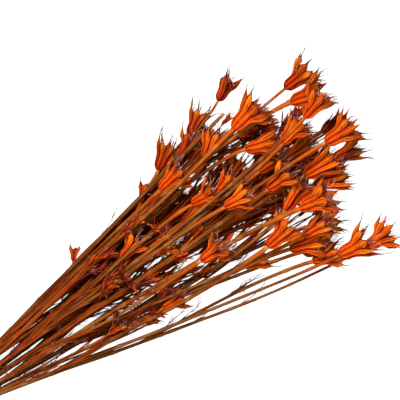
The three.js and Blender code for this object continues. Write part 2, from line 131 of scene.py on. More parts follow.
def make_draw(seed):
    """Seeded draws, the same numbers on every run and as in the solids."""
    state = seed
    mask = 0xFFFFFFFF

    def draw(low, high):
        nonlocal state
        state = (state + 0x6D2B79F5) & mask
        mixed = ((state ^ (state >> 15)) * (state | 1)) & mask
        mixed ^= (mixed + (((mixed ^ (mixed >> 7)) * (mixed | 61)) & mask)) & mask
        return low + (high - low) * ((mixed ^ (mixed >> 14)) & mask) / 4294967296

    return draw


def follicle_forms(run, seed):
    """Bearing, flare, length, seam height and curl of each follicle of a head."""
    draw = make_draw(seed)
    roll = draw(0, 2 * math.pi)
    open_side = draw(0, 2 * math.pi)
    count = run["follicles"]
    fan = 3 if count > 5 else 2
    forms = []
    for i in range(count):
        place = i % fan
        fan_size = min(fan, count - (i - place))
        inward = ((fan_size - 1) / 2 - place) * FAN_PULL
        bearing = roll + (i + inward) * 2 * math.pi / count
        opening = 1 + OPEN_SIDE * math.cos(bearing - open_side)
        forms.append(dict(
            bearing=bearing,
            flare=math.radians(run["flare"] * opening * draw(*FLARE_CHANGE)),
            length=run["length"] * (1 - CUP_HEIGHT) * draw(*LENGTH_CHANGE),
            joint=draw(*SPLIT_JOINT) if place == fan_size - 1 else draw(*FAN_JOINT),
            curl=math.radians(draw(*CURL)),
        ))
        # The solids draw the length of their beak here, so a number is drawn to stay in step with them
        draw(0, 1)
    return forms


def turn_of(pitch, heading):
    """Matrix that takes a head's own axes, with its axis along +X, to the bunch's."""
    cp, sp = math.cos(pitch), math.sin(pitch)
    ch, sh = math.cos(heading), math.sin(heading)
    return np.array([[ch * cp, -sh, -ch * sp], [sh * cp, ch, -sh * sp], [sp, 0, cp]])


def cad_points(node):
    """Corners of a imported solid, in millimetres."""
    return np.array([v.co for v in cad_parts[node].data.vertices]) / MM


def foot_height(run, points):
    """Height of a head's foot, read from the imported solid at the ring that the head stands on."""
    heights = []
    ring = run["radius"] + FOOT_EXTRA
    for form in run["forms"]:
        bearing = form["bearing"]
        offset = run["turn"] @ np.array([0, ring * math.cos(bearing), ring * math.sin(bearing)])
        place = run["end"] + offset[:2]
        nearest = np.argmin(np.hypot(*(points[:, :2] - place).T))
        heights.append(points[nearest, 2] - offset[2])
    return float(np.median(heights))


row_of = [row for row, count in enumerate(ROW_SLOTS) for _ in range(count)]
pod_number = 0
for index, runs in enumerate(SPRIGS):
    stem_points = cad_points(f"stem_{index + 1:02d}")
    stem_draw = make_draw(STEM_SEED + index)
    for order, run in enumerate(runs):
        angle = math.radians(run["angle"])
        run["end"] = run["reach"] * np.array([math.cos(angle), math.sin(angle)])
        run["way"] = math.radians(run["heading"])
        spread = stem_draw(-PITCH_SPREAD, PITCH_SPREAD)
        run["pitch"] = math.radians(PITCH_LOW + PITCH_PER_ROW * row_of[index] + spread)
        run["turn"] = turn_of(run["pitch"], run["way"])
        if order == 0:
            run["tail"] = TAIL_LENGTH + stem_draw(-TAIL_UNEVEN, TAIL_UNEVEN)
        if run["kind"] == "cut":
            continue
        run["forms"] = follicle_forms(run, HEAD_SEED * index + order + 1)
        if run["kind"] == "pod":
            pod_number += 1
            run["node"] = f"pod_{pod_number:02d}"
        run["foot"] = foot_height(run, cad_points(run["node"]) if run["kind"] == "pod" else stem_points)

# Rows along a follicle: foot to shoulder, to the cup, to the belly, to the tip
ROWS = np.concatenate([np.linspace(0, 1, 4)[:-1], np.linspace(1, 2, 6)[:-1], np.linspace(2, 3, 7)[:-1],
                       np.linspace(3, 4, 6)])
# Columns across it, from one seam over the ridge to the other
NERVE = 0.46
SIDES = np.array([0, 0.12, 0.3, NERVE, 0.62, 0.84, 1.0])
COLUMNS = np.concatenate([-SIDES[:0:-1], SIDES])
ON_LINE = 0.01
START_LEAN = 0.25
ARCH_POWER = 1.28
FREE_ARCH = 0.3
FREE_EASE = 1.4
TIP_REACH = 0.08
TIP_SHARE = 0.4
TIP_RISE = 0.6
TIP_DIP = 0.3
TIP_CLOSE = 0.2
POINTED = 0.3
# Relief of its back in millimetres on a head of the usual length, and how far from both ends it fades out
USUAL_LENGTH = 30
RELIEF_FOOT = 1.2
RELIEF_TIP = 0.8
KEEL_RIB = 0.2
NERVE_GROOVE = 0.16
WRINKLE = 0.22
WRINKLES = ((3.1, 2.2, 1.0), (7.3, -3.1, 0.6))
TIP_TWIST = 1.5
MARGIN_ROLL = 1.7
MARGIN_CURL = (-0.35, 1.0)
FLUTTER = 0.5
FLUTTERS = 5
RAGGED = 0.75


def unit(vector):
    return vector / np.linalg.norm(vector)


def guide_line(points, start_way, end_way=None, corner=None):
    """Smooth line through five guide points, at the rows of a follicle, with a corner at one of them."""
    steps = np.diff(points, axis=0)
    lengths = np.linalg.norm(steps, axis=1)
    ways = steps / lengths[:, None]
    tangents = [unit(start_way)]
    for j in (1, 2, 3):
        tangents.append(unit(lengths[j] * ways[j - 1] + lengths[j - 1] * ways[j]))
    tangents.append(ways[3] if end_way is None else unit(end_way))
    leaving = list(tangents)
    if corner is not None:
        tangents[corner] = ways[corner - 1]
        leaving[corner] = ways[corner - 1]
        leaving[3] = unit(ways[3] + POINTED * ways[2])
    line = []
    for p in ROWS:
        j = min(int(p), 3)
        u = p - j
        line.append((2 * u**3 - 3 * u**2 + 1) * points[j] + (3 * u**2 - 2 * u**3) * points[j + 1]
                    + lengths[j] * ((u**3 - 2 * u**2 + u) * leaving[j] + (u**3 - u**2) * tangents[j + 1]))
    return np.array(line)


def smooth_step(value):
    held = np.clip(value, 0, 1)
    return held * held * (3 - 2 * held)


def follicle_sheets(run, rng):
    """The back of each follicle as a grid of points in the head's own axes, and where each tip lies."""
    forms = run["forms"]
    count = len(forms)
    size = run["length"]
    axis = np.array([1.0, 0, 0])
    foot_ring = run["radius"] + FOOT_EXTRA
    cup = CUP_RADIUS * size

    def outward(angle):
        return np.array([0, math.cos(angle), math.sin(angle)])

    def ring(height, radius, angle):
        return outward(angle) * radius + axis * height

    bearings = [form["bearing"] for form in forms] + [forms[0]["bearing"] + 2 * math.pi]
    seams = []
    for i, form in enumerate(forms):
        middle = (bearings[i] + bearings[i + 1]) / 2
        flare = min(form["flare"], forms[(i + 1) % count]["flare"])
        radius = cup * VALLEY + max(0, form["joint"] - CUP_HEIGHT) * size * math.tan(flare)
        seams.append((outward(middle), [ring(0, foot_ring, middle),
                                        ring(SHOULDER * size, SHOULDER_VALLEY * size, middle),
                                        ring(form["joint"] * size, radius, middle)]))

    def shape_of(form):
        """Widest place of a follicle's free part: its middle, half its width and the direction across."""
        out = outward(form["bearing"])
        side = np.array([0, -math.sin(form["bearing"]), math.cos(form["bearing"])])
        way = math.cos(form["flare"]) * axis + math.sin(form["flare"]) * out
        belly = out * ROOT_RADIUS * size + axis * CUP_HEIGHT * size + way * BELLY * form["length"]
        spacing = 2 * math.pi * np.linalg.norm(belly[1:]) / count
        half = min(SIDE_SHARE * spacing, SIDE_LIMIT * size)
        return belly, half, side

    sheets, tips = [], []
    for i, form in enumerate(forms):
        out = outward(form["bearing"])
        belly, half, side = shape_of(form)

        def heading(angle):
            return math.cos(angle) * axis + math.sin(angle) * out

        def normal(angle):
            return -math.sin(angle) * axis + math.cos(angle) * out

        tip_way = heading(form["flare"] + form["curl"])
        tip = belly + tip_way * ((1 - BELLY) * form["length"] + TIP_REACH * size)
        up = normal(form["flare"])
        tip_up = normal(form["flare"] + form["curl"])
        keel = guide_line(np.array([
            ring(0, foot_ring, form["bearing"]),
            ring(SHOULDER * size, SHOULDER_RADIUS * size, form["bearing"]),
            ring(CUP_HEIGHT * size, cup, form["bearing"]),
            belly + up * KEEL_DEPTH * half,
            tip + tip_up * TIP_HALF * TIP_RISE,
        ]), out + START_LEAN * axis)
        edges, opens = [], []
        for sign, (seam_out, seam), partner, joint in (
                (-1, seams[i - 1], forms[i - 1], forms[i - 1]["joint"]),
                (1, seams[i], forms[(i + 1) % count], form["joint"])):
            edge = belly + sign * side * half
            if joint > SPLIT_JOINT[1]:
                near, near_half, near_side = shape_of(partner)
                edge = (edge + near - sign * near_side * near_half) / 2
            points = np.array(seam + [edge, tip + sign * side * TIP_HALF * TIP_SHARE - tip_up * TIP_DIP])
            end_way = tip_way - TIP_CLOSE * sign * side
            opens.append(3 if joint > SPLIT_JOINT[1] else 2)
            edges.append(guide_line(points, seam_out + START_LEAN * axis, end_way, corner=opens[-1]))
        left, right = edges

        w = COLUMNS[None, :, None]
        lift = keel - (left + right) / 2
        free = np.where(w < 0, *(smooth_step((ROWS - opening) / (4 - opening) * FREE_EASE)[:, None, None]
                                 for opening in opens))
        arch = 1 - np.abs(w) ** (ARCH_POWER + FREE_ARCH * free)
        grid = left[:, None] * (1 - w) / 2 + right[:, None] * (1 + w) / 2 + lift[:, None] * arch
        back = (lift / np.linalg.norm(lift, axis=1)[:, None])[:, None]
        rows = ROWS[:, None, None]
        rise = smooth_step(rows / RELIEF_FOOT) * smooth_step((4 - rows) / RELIEF_TIP)
        relief = KEEL_RIB * (np.abs(w) < ON_LINE) - NERVE_GROOVE * (np.abs(np.abs(w) - NERVE) < ON_LINE)
        phases = rng.uniform(0, 2 * math.pi, 3)
        waves = sum(depth * np.sin(along * rows + across * w + phase)
                    for (along, across, depth), phase in zip(WRINKLES, phases))
        grid = grid + back * rise * (relief * size / USUAL_LENGTH + WRINKLE * waves * (1 - w**4))
        twist = rng.normal(0, TIP_TWIST) * size / USUAL_LENGTH
        grid = grid + back * w * twist * free * rise
        curls = np.where(w < 0, *rng.uniform(*MARGIN_CURL, 2))
        edge = np.clip((np.abs(w) - NERVE) / (1 - NERVE), 0, 1) ** 2
        flutter = 1 + FLUTTER * np.sin(FLUTTERS * rows + phases[2])
        grid = grid - back * MARGIN_ROLL * curls * edge * free * flutter * rise * size / USUAL_LENGTH
        jag = rng.uniform(-RAGGED, RAGGED, (len(ROWS), 1, 1)) * np.sign(w) * (np.abs(w) > 1 - ON_LINE)
        grid = grid + side * jag * free * rise
        sheets.append(grid)
        tips.append((grid[-1].mean(axis=0), tip_way, tip_up, side))
    return sheets, tips


def new_skin():
    """An empty mesh in millimetres, to which grids, tubes and caps are added."""
    return dict(points=[], faces=[], uv=[], tint=[], finish=[], count=0)


def add_grid(skin, grid, us, vs, tint, finish=0, wrap=False):
    """Adds a grid of points as quads. us and vs run along its columns and rows, tint colours its points."""
    rows, columns = grid.shape[:2]
    first = skin["count"]
    numbers = first + np.arange(rows * columns).reshape(rows, columns)
    across = np.arange(columns if wrap else columns - 1)
    after = (across + 1) % columns
    quads = np.stack([numbers[:-1, across], numbers[:-1, after], numbers[1:, after], numbers[1:, across]],
                     axis=-1)
    u_low, u_high = us[across], us[across + 1]
    u = np.broadcast_to(np.stack([u_low, u_high, u_high, u_low], axis=-1), quads.shape)
    v = np.broadcast_to(np.stack([vs[:-1], vs[:-1], vs[1:], vs[1:]], axis=-1)[:, None, :], quads.shape)
    skin["points"].append(grid.reshape(-1, 3))
    skin["faces"].extend(quads.reshape(-1, 4).tolist())
    skin["uv"].append(np.stack([u, v], axis=-1).reshape(-1, 2))
    skin["tint"].append(np.broadcast_to(np.asarray(tint, float), (rows, columns, 4)).reshape(-1, 4))
    skin["finish"].extend([finish] * (rows - 1) * len(across))
    skin["count"] += rows * columns
    return numbers


def add_cap(skin, numbers, finish, uv=(0.5, 0.5)):
    """Closes a ring of points with one face."""
    skin["faces"].append([int(n) for n in numbers])
    skin["uv"].append(np.tile(np.array(uv, float), (len(numbers), 1)))
    skin["finish"].append(finish)


LOWEST = 0.06
HEADROOM = 12
HIGHEST = cad_high[2] / MM + HEADROOM


def piece_from(skin, name, materials):
    """Makes the object of a skin, which lies on the surface at its lowest."""
    points = np.concatenate(skin["points"])
    points[:, 2] = np.clip(points[:, 2], LOWEST, HIGHEST)
    mesh = bpy.data.meshes.new(name)
    mesh.from_pydata((points * MM).tolist(), [], skin["faces"])
    mesh.uv_layers.new(name="fibre").data.foreach_set("uv", np.concatenate(skin["uv"]).ravel())
    colours = mesh.color_attributes.new("tint", "FLOAT_COLOR", "POINT")
    colours.data.foreach_set("color", np.concatenate(skin["tint"]).ravel())
    mesh.polygons.foreach_set("material_index", skin["finish"])
    for material in materials:
        mesh.materials.append(material)
    mesh.shade_smooth()
    mesh.update()
    piece = bpy.data.objects.new(name, mesh)
    bpy.context.scene.collection.objects.link(piece)
    return piece


WELD_REACH = 0.02
SHARP_ANGLE = 55


def weld(piece):
    """Joins the follicles of a head along their seams."""
    shape = bmesh.new()
    shape.from_mesh(piece.data)
    bmesh.ops.remove_doubles(shape, verts=shape.verts, dist=WELD_REACH * MM)
    shape.to_mesh(piece.data)
    shape.free()
    piece.data.set_sharp_from_angle(angle=math.radians(SHARP_ANGLE))


def add_node(tree, kind, values=None, **settings):
    """A shader node with its settings and the values of its inputs."""
    node = tree.nodes.new(kind)
    for name, value in settings.items():
        setattr(node, name, value)
    for name, value in (values or {}).items():
        node.inputs[name].default_value = value
    return node


def colour(text):
    """Linear colour from its usual six-figure code."""
    channels = [int(text[i:i + 2], 16) / 255 for i in (0, 2, 4)]
    return [c / 12.92 if c <= 0.04045 else ((c + 0.055) / 1.055) ** 2.4 for c in channels] + [1.0]


def mixed(tree, share, under, over):
    """Colour socket that goes from under to over by the socket or number share."""
    node = add_node(tree, "ShaderNodeMix", data_type="RGBA")
    for socket, given in ((node.inputs[0], share), (node.inputs[6], under), (node.inputs[7], over)):
        if isinstance(given, bpy.types.NodeSocket):
            tree.links.new(given, socket)
        else:
            socket.default_value = given
    return node.outputs[2]


def reckon(tree, operation, first, second=None, third=None):
    """Value socket of one sum on sockets or numbers."""
    node = add_node(tree, "ShaderNodeMath", operation=operation)
    for socket, given in zip(node.inputs, (first, second, third)):
        if isinstance(given, bpy.types.NodeSocket):
            tree.links.new(given, socket)
        elif given is not None:
            socket.default_value = given
    return node.outputs[0]


def washed(tree, mask, strength, under, over):
    """Colour socket with one colour laid over another where the mask says, as strongly as given."""
    return mixed(tree, reckon(tree, "MULTIPLY", mask, strength), under, over)


def eased(tree, value, low, high, out_low=0.0, out_high=1.0):
    """Value socket that eases from out_low to out_high as the given one goes from low to high."""
    node = add_node(tree, "ShaderNodeMapRange",
                    {"From Min": low, "From Max": high, "To Min": out_low, "To Max": out_high},
                    interpolation_type="SMOOTHSTEP")
    tree.links.new(value, node.inputs["Value"])
    return node.outputs["Result"]


def line_at(tree, value, centre, width):
    """Mask that is 1 on the line where value is centre and fades out at width from it."""
    apart = reckon(tree, "ABSOLUTE", reckon(tree, "SUBTRACT", value, centre))
    return eased(tree, apart, 0.0, width, 1.0, 0.0)


def new_group(name, inputs, outputs):
    """A shader node group with named inputs and outputs, and its two end nodes."""
    group = bpy.data.node_groups.new(name, "ShaderNodeTree")
    for title, kind, value in inputs:
        socket = group.interface.new_socket(title, in_out="INPUT", socket_type=kind)
        if value is not None:
            socket.default_value = value
    for title, kind in outputs:
        group.interface.new_socket(title, in_out="OUTPUT", socket_type=kind)
    return group, group.nodes.new("NodeGroupInput"), group.nodes.new("NodeGroupOutput")


# Dried fibre: fine streaks that run along a stem or a follicle, for colour and relief
dried_fibre, fibre_in, fibre_out = new_group(
    "dried fibre",
    [("Across", "NodeSocketFloat", 0.0), ("Along", "NodeSocketFloat", 0.0),
     ("Change", "NodeSocketFloat", 0.0), ("Fineness", "NodeSocketFloat", 20.0),
     ("Stretch", "NodeSocketFloat", 2.0)],
    [("Streaks", "NodeSocketFloat"), ("Broad", "NodeSocketFloat")])
fine_across = reckon(dried_fibre, "MULTIPLY", fibre_in.outputs["Across"], fibre_in.outputs["Fineness"])
fine_along = reckon(dried_fibre, "MULTIPLY", fibre_in.outputs["Along"], fibre_in.outputs["Stretch"])
fibre_place = add_node(dried_fibre, "ShaderNodeCombineXYZ")
dried_fibre.links.new(fine_across, fibre_place.inputs["X"])
dried_fibre.links.new(fine_along, fibre_place.inputs["Y"])
fine_apart = reckon(dried_fibre, "MULTIPLY", fibre_in.outputs["Change"], 37.0)
dried_fibre.links.new(fine_apart, fibre_place.inputs["Z"])
streak_noise = add_node(dried_fibre, "ShaderNodeTexNoise", {"Scale": 1.0, "Detail": 4.0, "Roughness": 0.6})
broad_noise = add_node(dried_fibre, "ShaderNodeTexNoise", {"Scale": 0.22, "Detail": 2.0, "Roughness": 0.5})
for noise, title in ((streak_noise, "Streaks"), (broad_noise, "Broad")):
    dried_fibre.links.new(fibre_place.outputs[0], noise.inputs["Vector"])
    dried_fibre.links.new(eased(dried_fibre, noise.outputs["Fac"], 0.3, 0.7), fibre_out.inputs[title])

# Blotches: uneven dye and the brown of age, over the whole plant
blotches, blotch_in, blotch_out = new_group(
    "blotches", [("Size", "NodeSocketFloat", 60.0), ("Amount", "NodeSocketFloat", 0.5)],
    [("Mask", "NodeSocketFloat")])
blotch_place = add_node(blotches, "ShaderNodeTexCoord")
blotch_noise = add_node(blotches, "ShaderNodeTexNoise", {"Detail": 3.0, "Roughness": 0.55})
blotches.links.new(blotch_place.outputs["Object"], blotch_noise.inputs["Vector"])
blotches.links.new(blotch_in.outputs["Size"], blotch_noise.inputs["Scale"])
blotch_mask = eased(blotches, blotch_noise.outputs["Fac"], 0.45, 0.68)
blotches.links.new(reckon(blotches, "MULTIPLY", blotch_mask, blotch_in.outputs["Amount"]),
                   blotch_out.inputs["Mask"])


def new_material(name):
    """A material, its tree and its shader."""
    material = bpy.data.materials.new(name)
    material.use_nodes = True
    tree = material.node_tree
    return material, tree, tree.nodes["Principled BSDF"]


def place_group(tree, group, values):
    """Puts a node group into a material, with values or sockets for its inputs."""
    node = add_node(tree, "ShaderNodeGroup", node_tree=group)
    for name, value in values.items():
        if isinstance(value, bpy.types.NodeSocket):
            tree.links.new(value, node.inputs[name])
        else:
            node.inputs[name].default_value = value
    return node


def lay_out(tree):
    """Sockets of where a point lies across and along its piece."""
    uv = add_node(tree, "ShaderNodeUVMap", uv_map="fibre")
    place = add_node(tree, "ShaderNodeSeparateXYZ")
    tree.links.new(uv.outputs[0], place.inputs[0])
    return place.outputs["X"], place.outputs["Y"]


def tint_of(tree):
    """Sockets of the three values that the points of a piece carry."""
    tint = add_node(tree, "ShaderNodeVertexColor", layer_name="tint")
    parts = add_node(tree, "ShaderNodeSeparateColor")
    tree.links.new(tint.outputs["Color"], parts.inputs[0])
    return parts.outputs


def bump_from(tree, shader, height, strength, distance):
    """Raises a material's surface by a height socket."""
    node = add_node(tree, "ShaderNodeBump", {"Strength": strength, "Distance": distance})
    tree.links.new(height, node.inputs["Height"])
    tree.links.new(node.outputs["Normal"], shader.inputs["Normal"])


def head_material(name, lit, deep, pale, seam, scorch, roughness, seam_depth):
    """Papery follicle: dyed skin mixed from a shaded and a lit colour, dark seams and side nerves, a
    painted highlight along the ridge, brown near the free tips.
    """
    material, tree, shader = new_material(name)
    width, along = lay_out(tree)
    dye_and_shade, burnt, change = tint_of(tree)
    across = reckon(tree, "ABSOLUTE", reckon(tree, "MULTIPLY_ADD", width, 2.0, -1.0))
    fibre = place_group(tree, dried_fibre, {"Across": width, "Along": along, "Change": change,
                                            "Fineness": 34.0, "Stretch": 2.4})
    spots = place_group(tree, blotches, {"Size": 90.0, "Amount": 0.75})
    # Painted light and shade: the first tint value mixes the deep, shaded colour with the lit one, and also
    # carries a random dye
    skin = mixed(tree, dye_and_shade, deep, lit)
    skin = washed(tree, fibre.outputs["Streaks"], 0.5, skin, deep)
    glow = reckon(tree, "MULTIPLY", eased(tree, along, 0.35, 0.95), fibre.outputs["Broad"])
    skin = washed(tree, glow, 0.7, skin, pale)
    skin = washed(tree, spots.outputs["Mask"], 0.6, skin, scorch)
    tip_burn = reckon(tree, "MULTIPLY", eased(tree, along, 0.45, 1.0), burnt)
    edge_burn = reckon(tree, "MULTIPLY", eased(tree, across, 0.55, 1.0), eased(tree, along, 0.5, 0.85))
    burn = reckon(tree, "MAXIMUM", tip_burn, reckon(tree, "MULTIPLY", edge_burn, 0.75))
    burn = reckon(tree, "MAXIMUM", burn, eased(tree, along, 0.86, 1.0, 0.0, 0.85))
    skin = mixed(tree, burn, skin, scorch)
    # Painted highlight: a pale line along the ridge of each follicle
    skin = washed(tree, line_at(tree, across, 0.0, 0.12), 0.25, skin, pale)
    nerve = reckon(tree, "MULTIPLY", line_at(tree, across, NERVE, 0.16), eased(tree, along, 1.0, 0.65))
    skin = washed(tree, nerve, 0.8, skin, seam)
    joined = eased(tree, along, 0.55, 1.0, 1.0, 0.4)
    valley = reckon(tree, "MULTIPLY", eased(tree, across, 0.66, 0.92), joined)
    skin = mixed(tree, valley, skin, seam)
    tree.links.new(skin, shader.inputs["Base Color"])
    rough = eased(tree, fibre.outputs["Streaks"], 0.0, 1.0, roughness - 0.1, roughness + 0.12)
    tree.links.new(rough, shader.inputs["Roughness"])
    shader.inputs["Specular IOR Level"].default_value = 0.08
    bump_from(tree, shader, reckon(tree, "SUBTRACT", fibre.outputs["Streaks"], valley), 0.6, seam_depth)
    return material


pod_skin = head_material("dyed follicle", colour("FF5A00"), colour("A82400"), colour("FF9A16"),
                         colour("340600"), colour("701A02"), 0.55, 0.0005)
pod_lining = head_material("follicle lining", colour("C43E02"), colour("7A1A00"), colour("D06A1A"),
                           colour("300800"), colour("561202"), 0.7, 0.0003)


def hair_material(name, root, middle, tip, roughness):
    """A thin dried hair that changes colour from its root to its tip."""
    material, tree, shader = new_material(name)
    _, along = lay_out(tree)
    hue = mixed(tree, eased(tree, along, 0.0, 0.3), root, middle)
    hue = mixed(tree, eased(tree, along, 0.6, 1.0), hue, tip)
    spots = place_group(tree, blotches, {"Size": 400.0, "Amount": 0.6})
    hue = mixed(tree, spots.outputs["Mask"], hue, root)
    tree.links.new(hue, shader.inputs["Base Color"])
    shader.inputs["Roughness"].default_value = roughness
    return material


beak_hair = hair_material("dark beak", colour("4A1608"), colour("160A06"), colour("3C3430"), 0.6)
inner_thread = hair_material("mauve thread", colour("5A1A10"), colour("A04A3C"), colour("D8A898"), 0.65)


def ring_frame(path):
    """Two directions across a path at each of its points, carried along it without a twist."""
    ways = np.gradient(path, axis=0)
    ways /= np.linalg.norm(ways, axis=1)[:, None]
    start = np.cross(ways[0], [0, 0, 1.0] if abs(ways[0][2]) < 0.9 else [0, 1.0, 0])
    sides = [unit(start)]
    for way in ways[1:]:
        sides.append(unit(sides[-1] - way * np.dot(sides[-1], way)))
    sides = np.array(sides)
    return sides, np.cross(sides, ways)


def add_tube(skin, path, radii, corners, tint, finish=0, ribs=0.0, along=None):
    """A closed tube along a path, with ribs as a share of its radius."""
    side, up = ring_frame(path)
    angles = 2 * math.pi * np.arange(corners) / corners
    around = 1 + ribs * np.where(np.arange(corners) % 2, -1, 1)
    reach = np.asarray(radii)[:, None] * around[None, :]
    grid = (path[:, None] + side[:, None] * (reach * np.cos(angles))[..., None]
            + up[:, None] * (reach * np.sin(angles))[..., None])
    vs = np.linspace(0, 1, len(path)) if along is None else np.asarray(along)
    numbers = add_grid(skin, grid, np.linspace(0, 1, corners + 1), vs, tint, finish, wrap=True)
    add_cap(skin, numbers[0][::-1], finish)
    add_cap(skin, numbers[-1], finish)


def add_hair(skin, path, thick, thin, corners, finish=0):
    """A tube that thins evenly along its path."""
    add_tube(skin, path, np.linspace(thick, thin, len(path)), corners, [1, 1, 1, 1], finish)


def hair_path(start, way, bend, length, steps):
    """A thin hair that starts along one direction and bends towards another."""
    path = [np.array(start)]
    for i in range(steps):
        path.append(path[-1] + unit(way + bend * (i / steps)) * length / steps)
    return np.array(path)


WALL = 0.32
DYE_CHANGE = 0.26
BURN_POWER = 1.4
# The beak at each tip, the second hair beside some of them and the threads inside the cup
BEAK_LENGTH = (4.5, 9.0)
BEAK_ROOT = 1.2
BEAK_RADII = (0.54, 0.144)
BEAK_BEND = (0.5, 0.45)
LONG_BEAK = 2.0
LONG_SHARE = 0.28
SECOND_HAIR = 0.6
SECOND_ROOT = (2, 5)
SECOND_LENGTH = (0.7, 1.1)
SECOND_RADII = (0.36, 0.126)
SECOND_BEND = (0.5, 0.6)
THREADS = 18
THREAD_FOOT = 0.4
THREAD_RING = 0.06
THREAD_LEAN = (0.1, 0.5)
THREAD_BEND = 0.8
THREAD_LENGTH = (0.5, 1.0)
THREAD_RADII = (0.3, 0.16)


def build_head(run, name, rng, dye_and_shade, scale=1.0, long_share=LONG_SHARE):
    """A head with its follicles, and its beaks and inner threads as a second piece."""
    sheets, tips = follicle_sheets(run, rng)
    foot = np.array([*run["end"], run["foot"]])

    def placed(points):
        return points @ run["turn"].T + foot

    skin = new_skin()
    us = (COLUMNS + 1) / 2
    for sheet in sheets:
        burnt = rng.uniform(0, 1) ** BURN_POWER
        # The first tint value carries the head's painted light and shade, with the follicle's own random
        # dye
        tint = [np.clip(dye_and_shade + rng.uniform(-DYE_CHANGE, DYE_CHANGE), 0, 1), burnt, rng.uniform(0, 1), 1]
        add_grid(skin, placed(sheet), us, ROWS / ROWS[-1], tint)
    head = piece_from(skin, name, [pod_skin, pod_lining])
    weld(head)
    shell = head.modifiers.new("papery wall", "SOLIDIFY")
    shell.thickness = WALL * MM * scale
    shell.offset = -1
    shell.material_offset = 1
    shell.material_offset_rim = 0
    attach(head, "root")

    hairs = new_skin()
    slender = scale**0.5
    for start, way, up, side in tips:
        bend = up * rng.normal(0, BEAK_BEND[0]) + side * rng.normal(0, BEAK_BEND[1])
        length = scale * rng.uniform(*BEAK_LENGTH) * (LONG_BEAK if rng.uniform() < long_share else 1)
        path = hair_path(start - way * BEAK_ROOT, way, bend, length, 7)
        add_hair(hairs, placed(path), BEAK_RADII[0] * slender, BEAK_RADII[1] * slender, 5)
        if rng.uniform() < SECOND_HAIR:
            beside = start - way * rng.uniform(*SECOND_ROOT) + side * rng.normal(0, 1)
            bend = up * rng.normal(0, SECOND_BEND[0]) + side * rng.normal(0, SECOND_BEND[1])
            path = hair_path(beside, way, bend, length * rng.uniform(*SECOND_LENGTH), 6)
            add_hair(hairs, placed(path), SECOND_RADII[0] * slender, SECOND_RADII[1] * slender, 4)
    for _ in range(int(THREADS * scale)):
        angle = rng.uniform(0, 2 * math.pi)
        out = np.array([0, math.cos(angle), math.sin(angle)])
        start = (np.array([THREAD_FOOT, 0, 0]) + out * THREAD_RING) * run["length"]
        way = np.array([1.0, 0, 0]) + out * rng.uniform(*THREAD_LEAN)
        bend = rng.normal(0, THREAD_BEND, 3)
        path = hair_path(start, way, bend, run["length"] * rng.uniform(*THREAD_LENGTH), 7)
        add_hair(hairs, placed(path), *THREAD_RADII, 4, finish=1)
    beaks = piece_from(hairs, name + "_beaks", [beak_hair, inner_thread])
    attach(beaks, "root")
    return head


# How light the heads are painted and how much dye they have, by their row and by their place in the fan,
# and over how many degrees or millimetres it changes: painted shade on the lower rows and the left side,
# painted light on the right side, darker at the far end, and a random spread of the dye
HEAD_DYE = 0.44
HEAD_LIGHT_PER_ROW = 0.14
DYE_SPREAD = 0.16
LEFT_ANGLE = 8
LEFT_FADE = 6
LEFT_SHADE = 0.55
LEFT_LONG = 0.5
FAR_REACH = 425
FAR_REACH_FADE = 20
FAR_ANGLE = -1
FAR_ANGLE_FADE = 3
FAR_LESS = 0.45
RIGHT_ANGLE = -8
RIGHT_FADE = 4
RIGHT_LIGHT = 0.35

head_rng = np.random.default_rng(41)
for index, runs in enumerate(SPRIGS):
    for run in runs:
        if run["kind"] == "pod":
            left = smooth_step((run["angle"] - LEFT_ANGLE) / LEFT_FADE)
            far = (smooth_step((run["reach"] - FAR_REACH) / FAR_REACH_FADE)
                   * smooth_step((run["angle"] - FAR_ANGLE) / FAR_ANGLE_FADE))
            right = smooth_step((RIGHT_ANGLE - run["angle"]) / RIGHT_FADE)
            # Painted shade on the lower rows and the left side, painted light on the right side, darker at
            # the far end, and a random spread of real dye
            dye_and_shade = HEAD_DYE + HEAD_LIGHT_PER_ROW * row_of[index] - LEFT_SHADE * left
            dye_and_shade = dye_and_shade - FAR_LESS * far + RIGHT_LIGHT * right + head_rng.uniform(-DYE_SPREAD, DYE_SPREAD)
            long_share = LONG_SHARE + LEFT_LONG * left
            head = build_head(run, run["node"] + "_head", head_rng, dye_and_shade, long_share=long_share)
            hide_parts(run["node"])


# Stems
# Each sprig's stem is a dry ribbed stalk with side branches, forked above the band and cut off below it.
# The dye has taken on it as ochre brown. Its smallest buds grow fused to it.
STEM_RADIUS = 2.0
GAP = 0.3
SLOT_PITCH = 2 * STEM_RADIUS + GAP
ROW_PITCH = SLOT_PITCH * math.sin(math.pi / 3)
BAND_WALL = 1.2
BAND_CORNER = 2 * SLOT_PITCH
BAND_MIDDLE = BAND_CORNER * math.sin(math.pi / 3) + STEM_RADIUS + GAP + BAND_WALL
TAIL_SPREAD = 1.7
TAIL_LIFT = 1.15
STRAIGHT = 5
LEAVE_X = 26
LEAVE_SHARE = 0.7
NECK = 6
END_TURN = 0.5
FORK_LEAN = 8
FORK_BACK = 150
FORK_PER_MM = 2.4
FORK_LIMITS = (160, 290)
FORK_FIRST = 48
FORK_TAPER = 0.95
CELL = 0.5
MAIN_SIDES = 5
BRANCH_SIDES = 6
# How far the corners of a solid's ring may lie from their plan, along it and across it
RING_ACROSS = 0.2
RING_ALONG = 1.5
RING_SPREAD = 1.6
RING_ROUND = 0.12
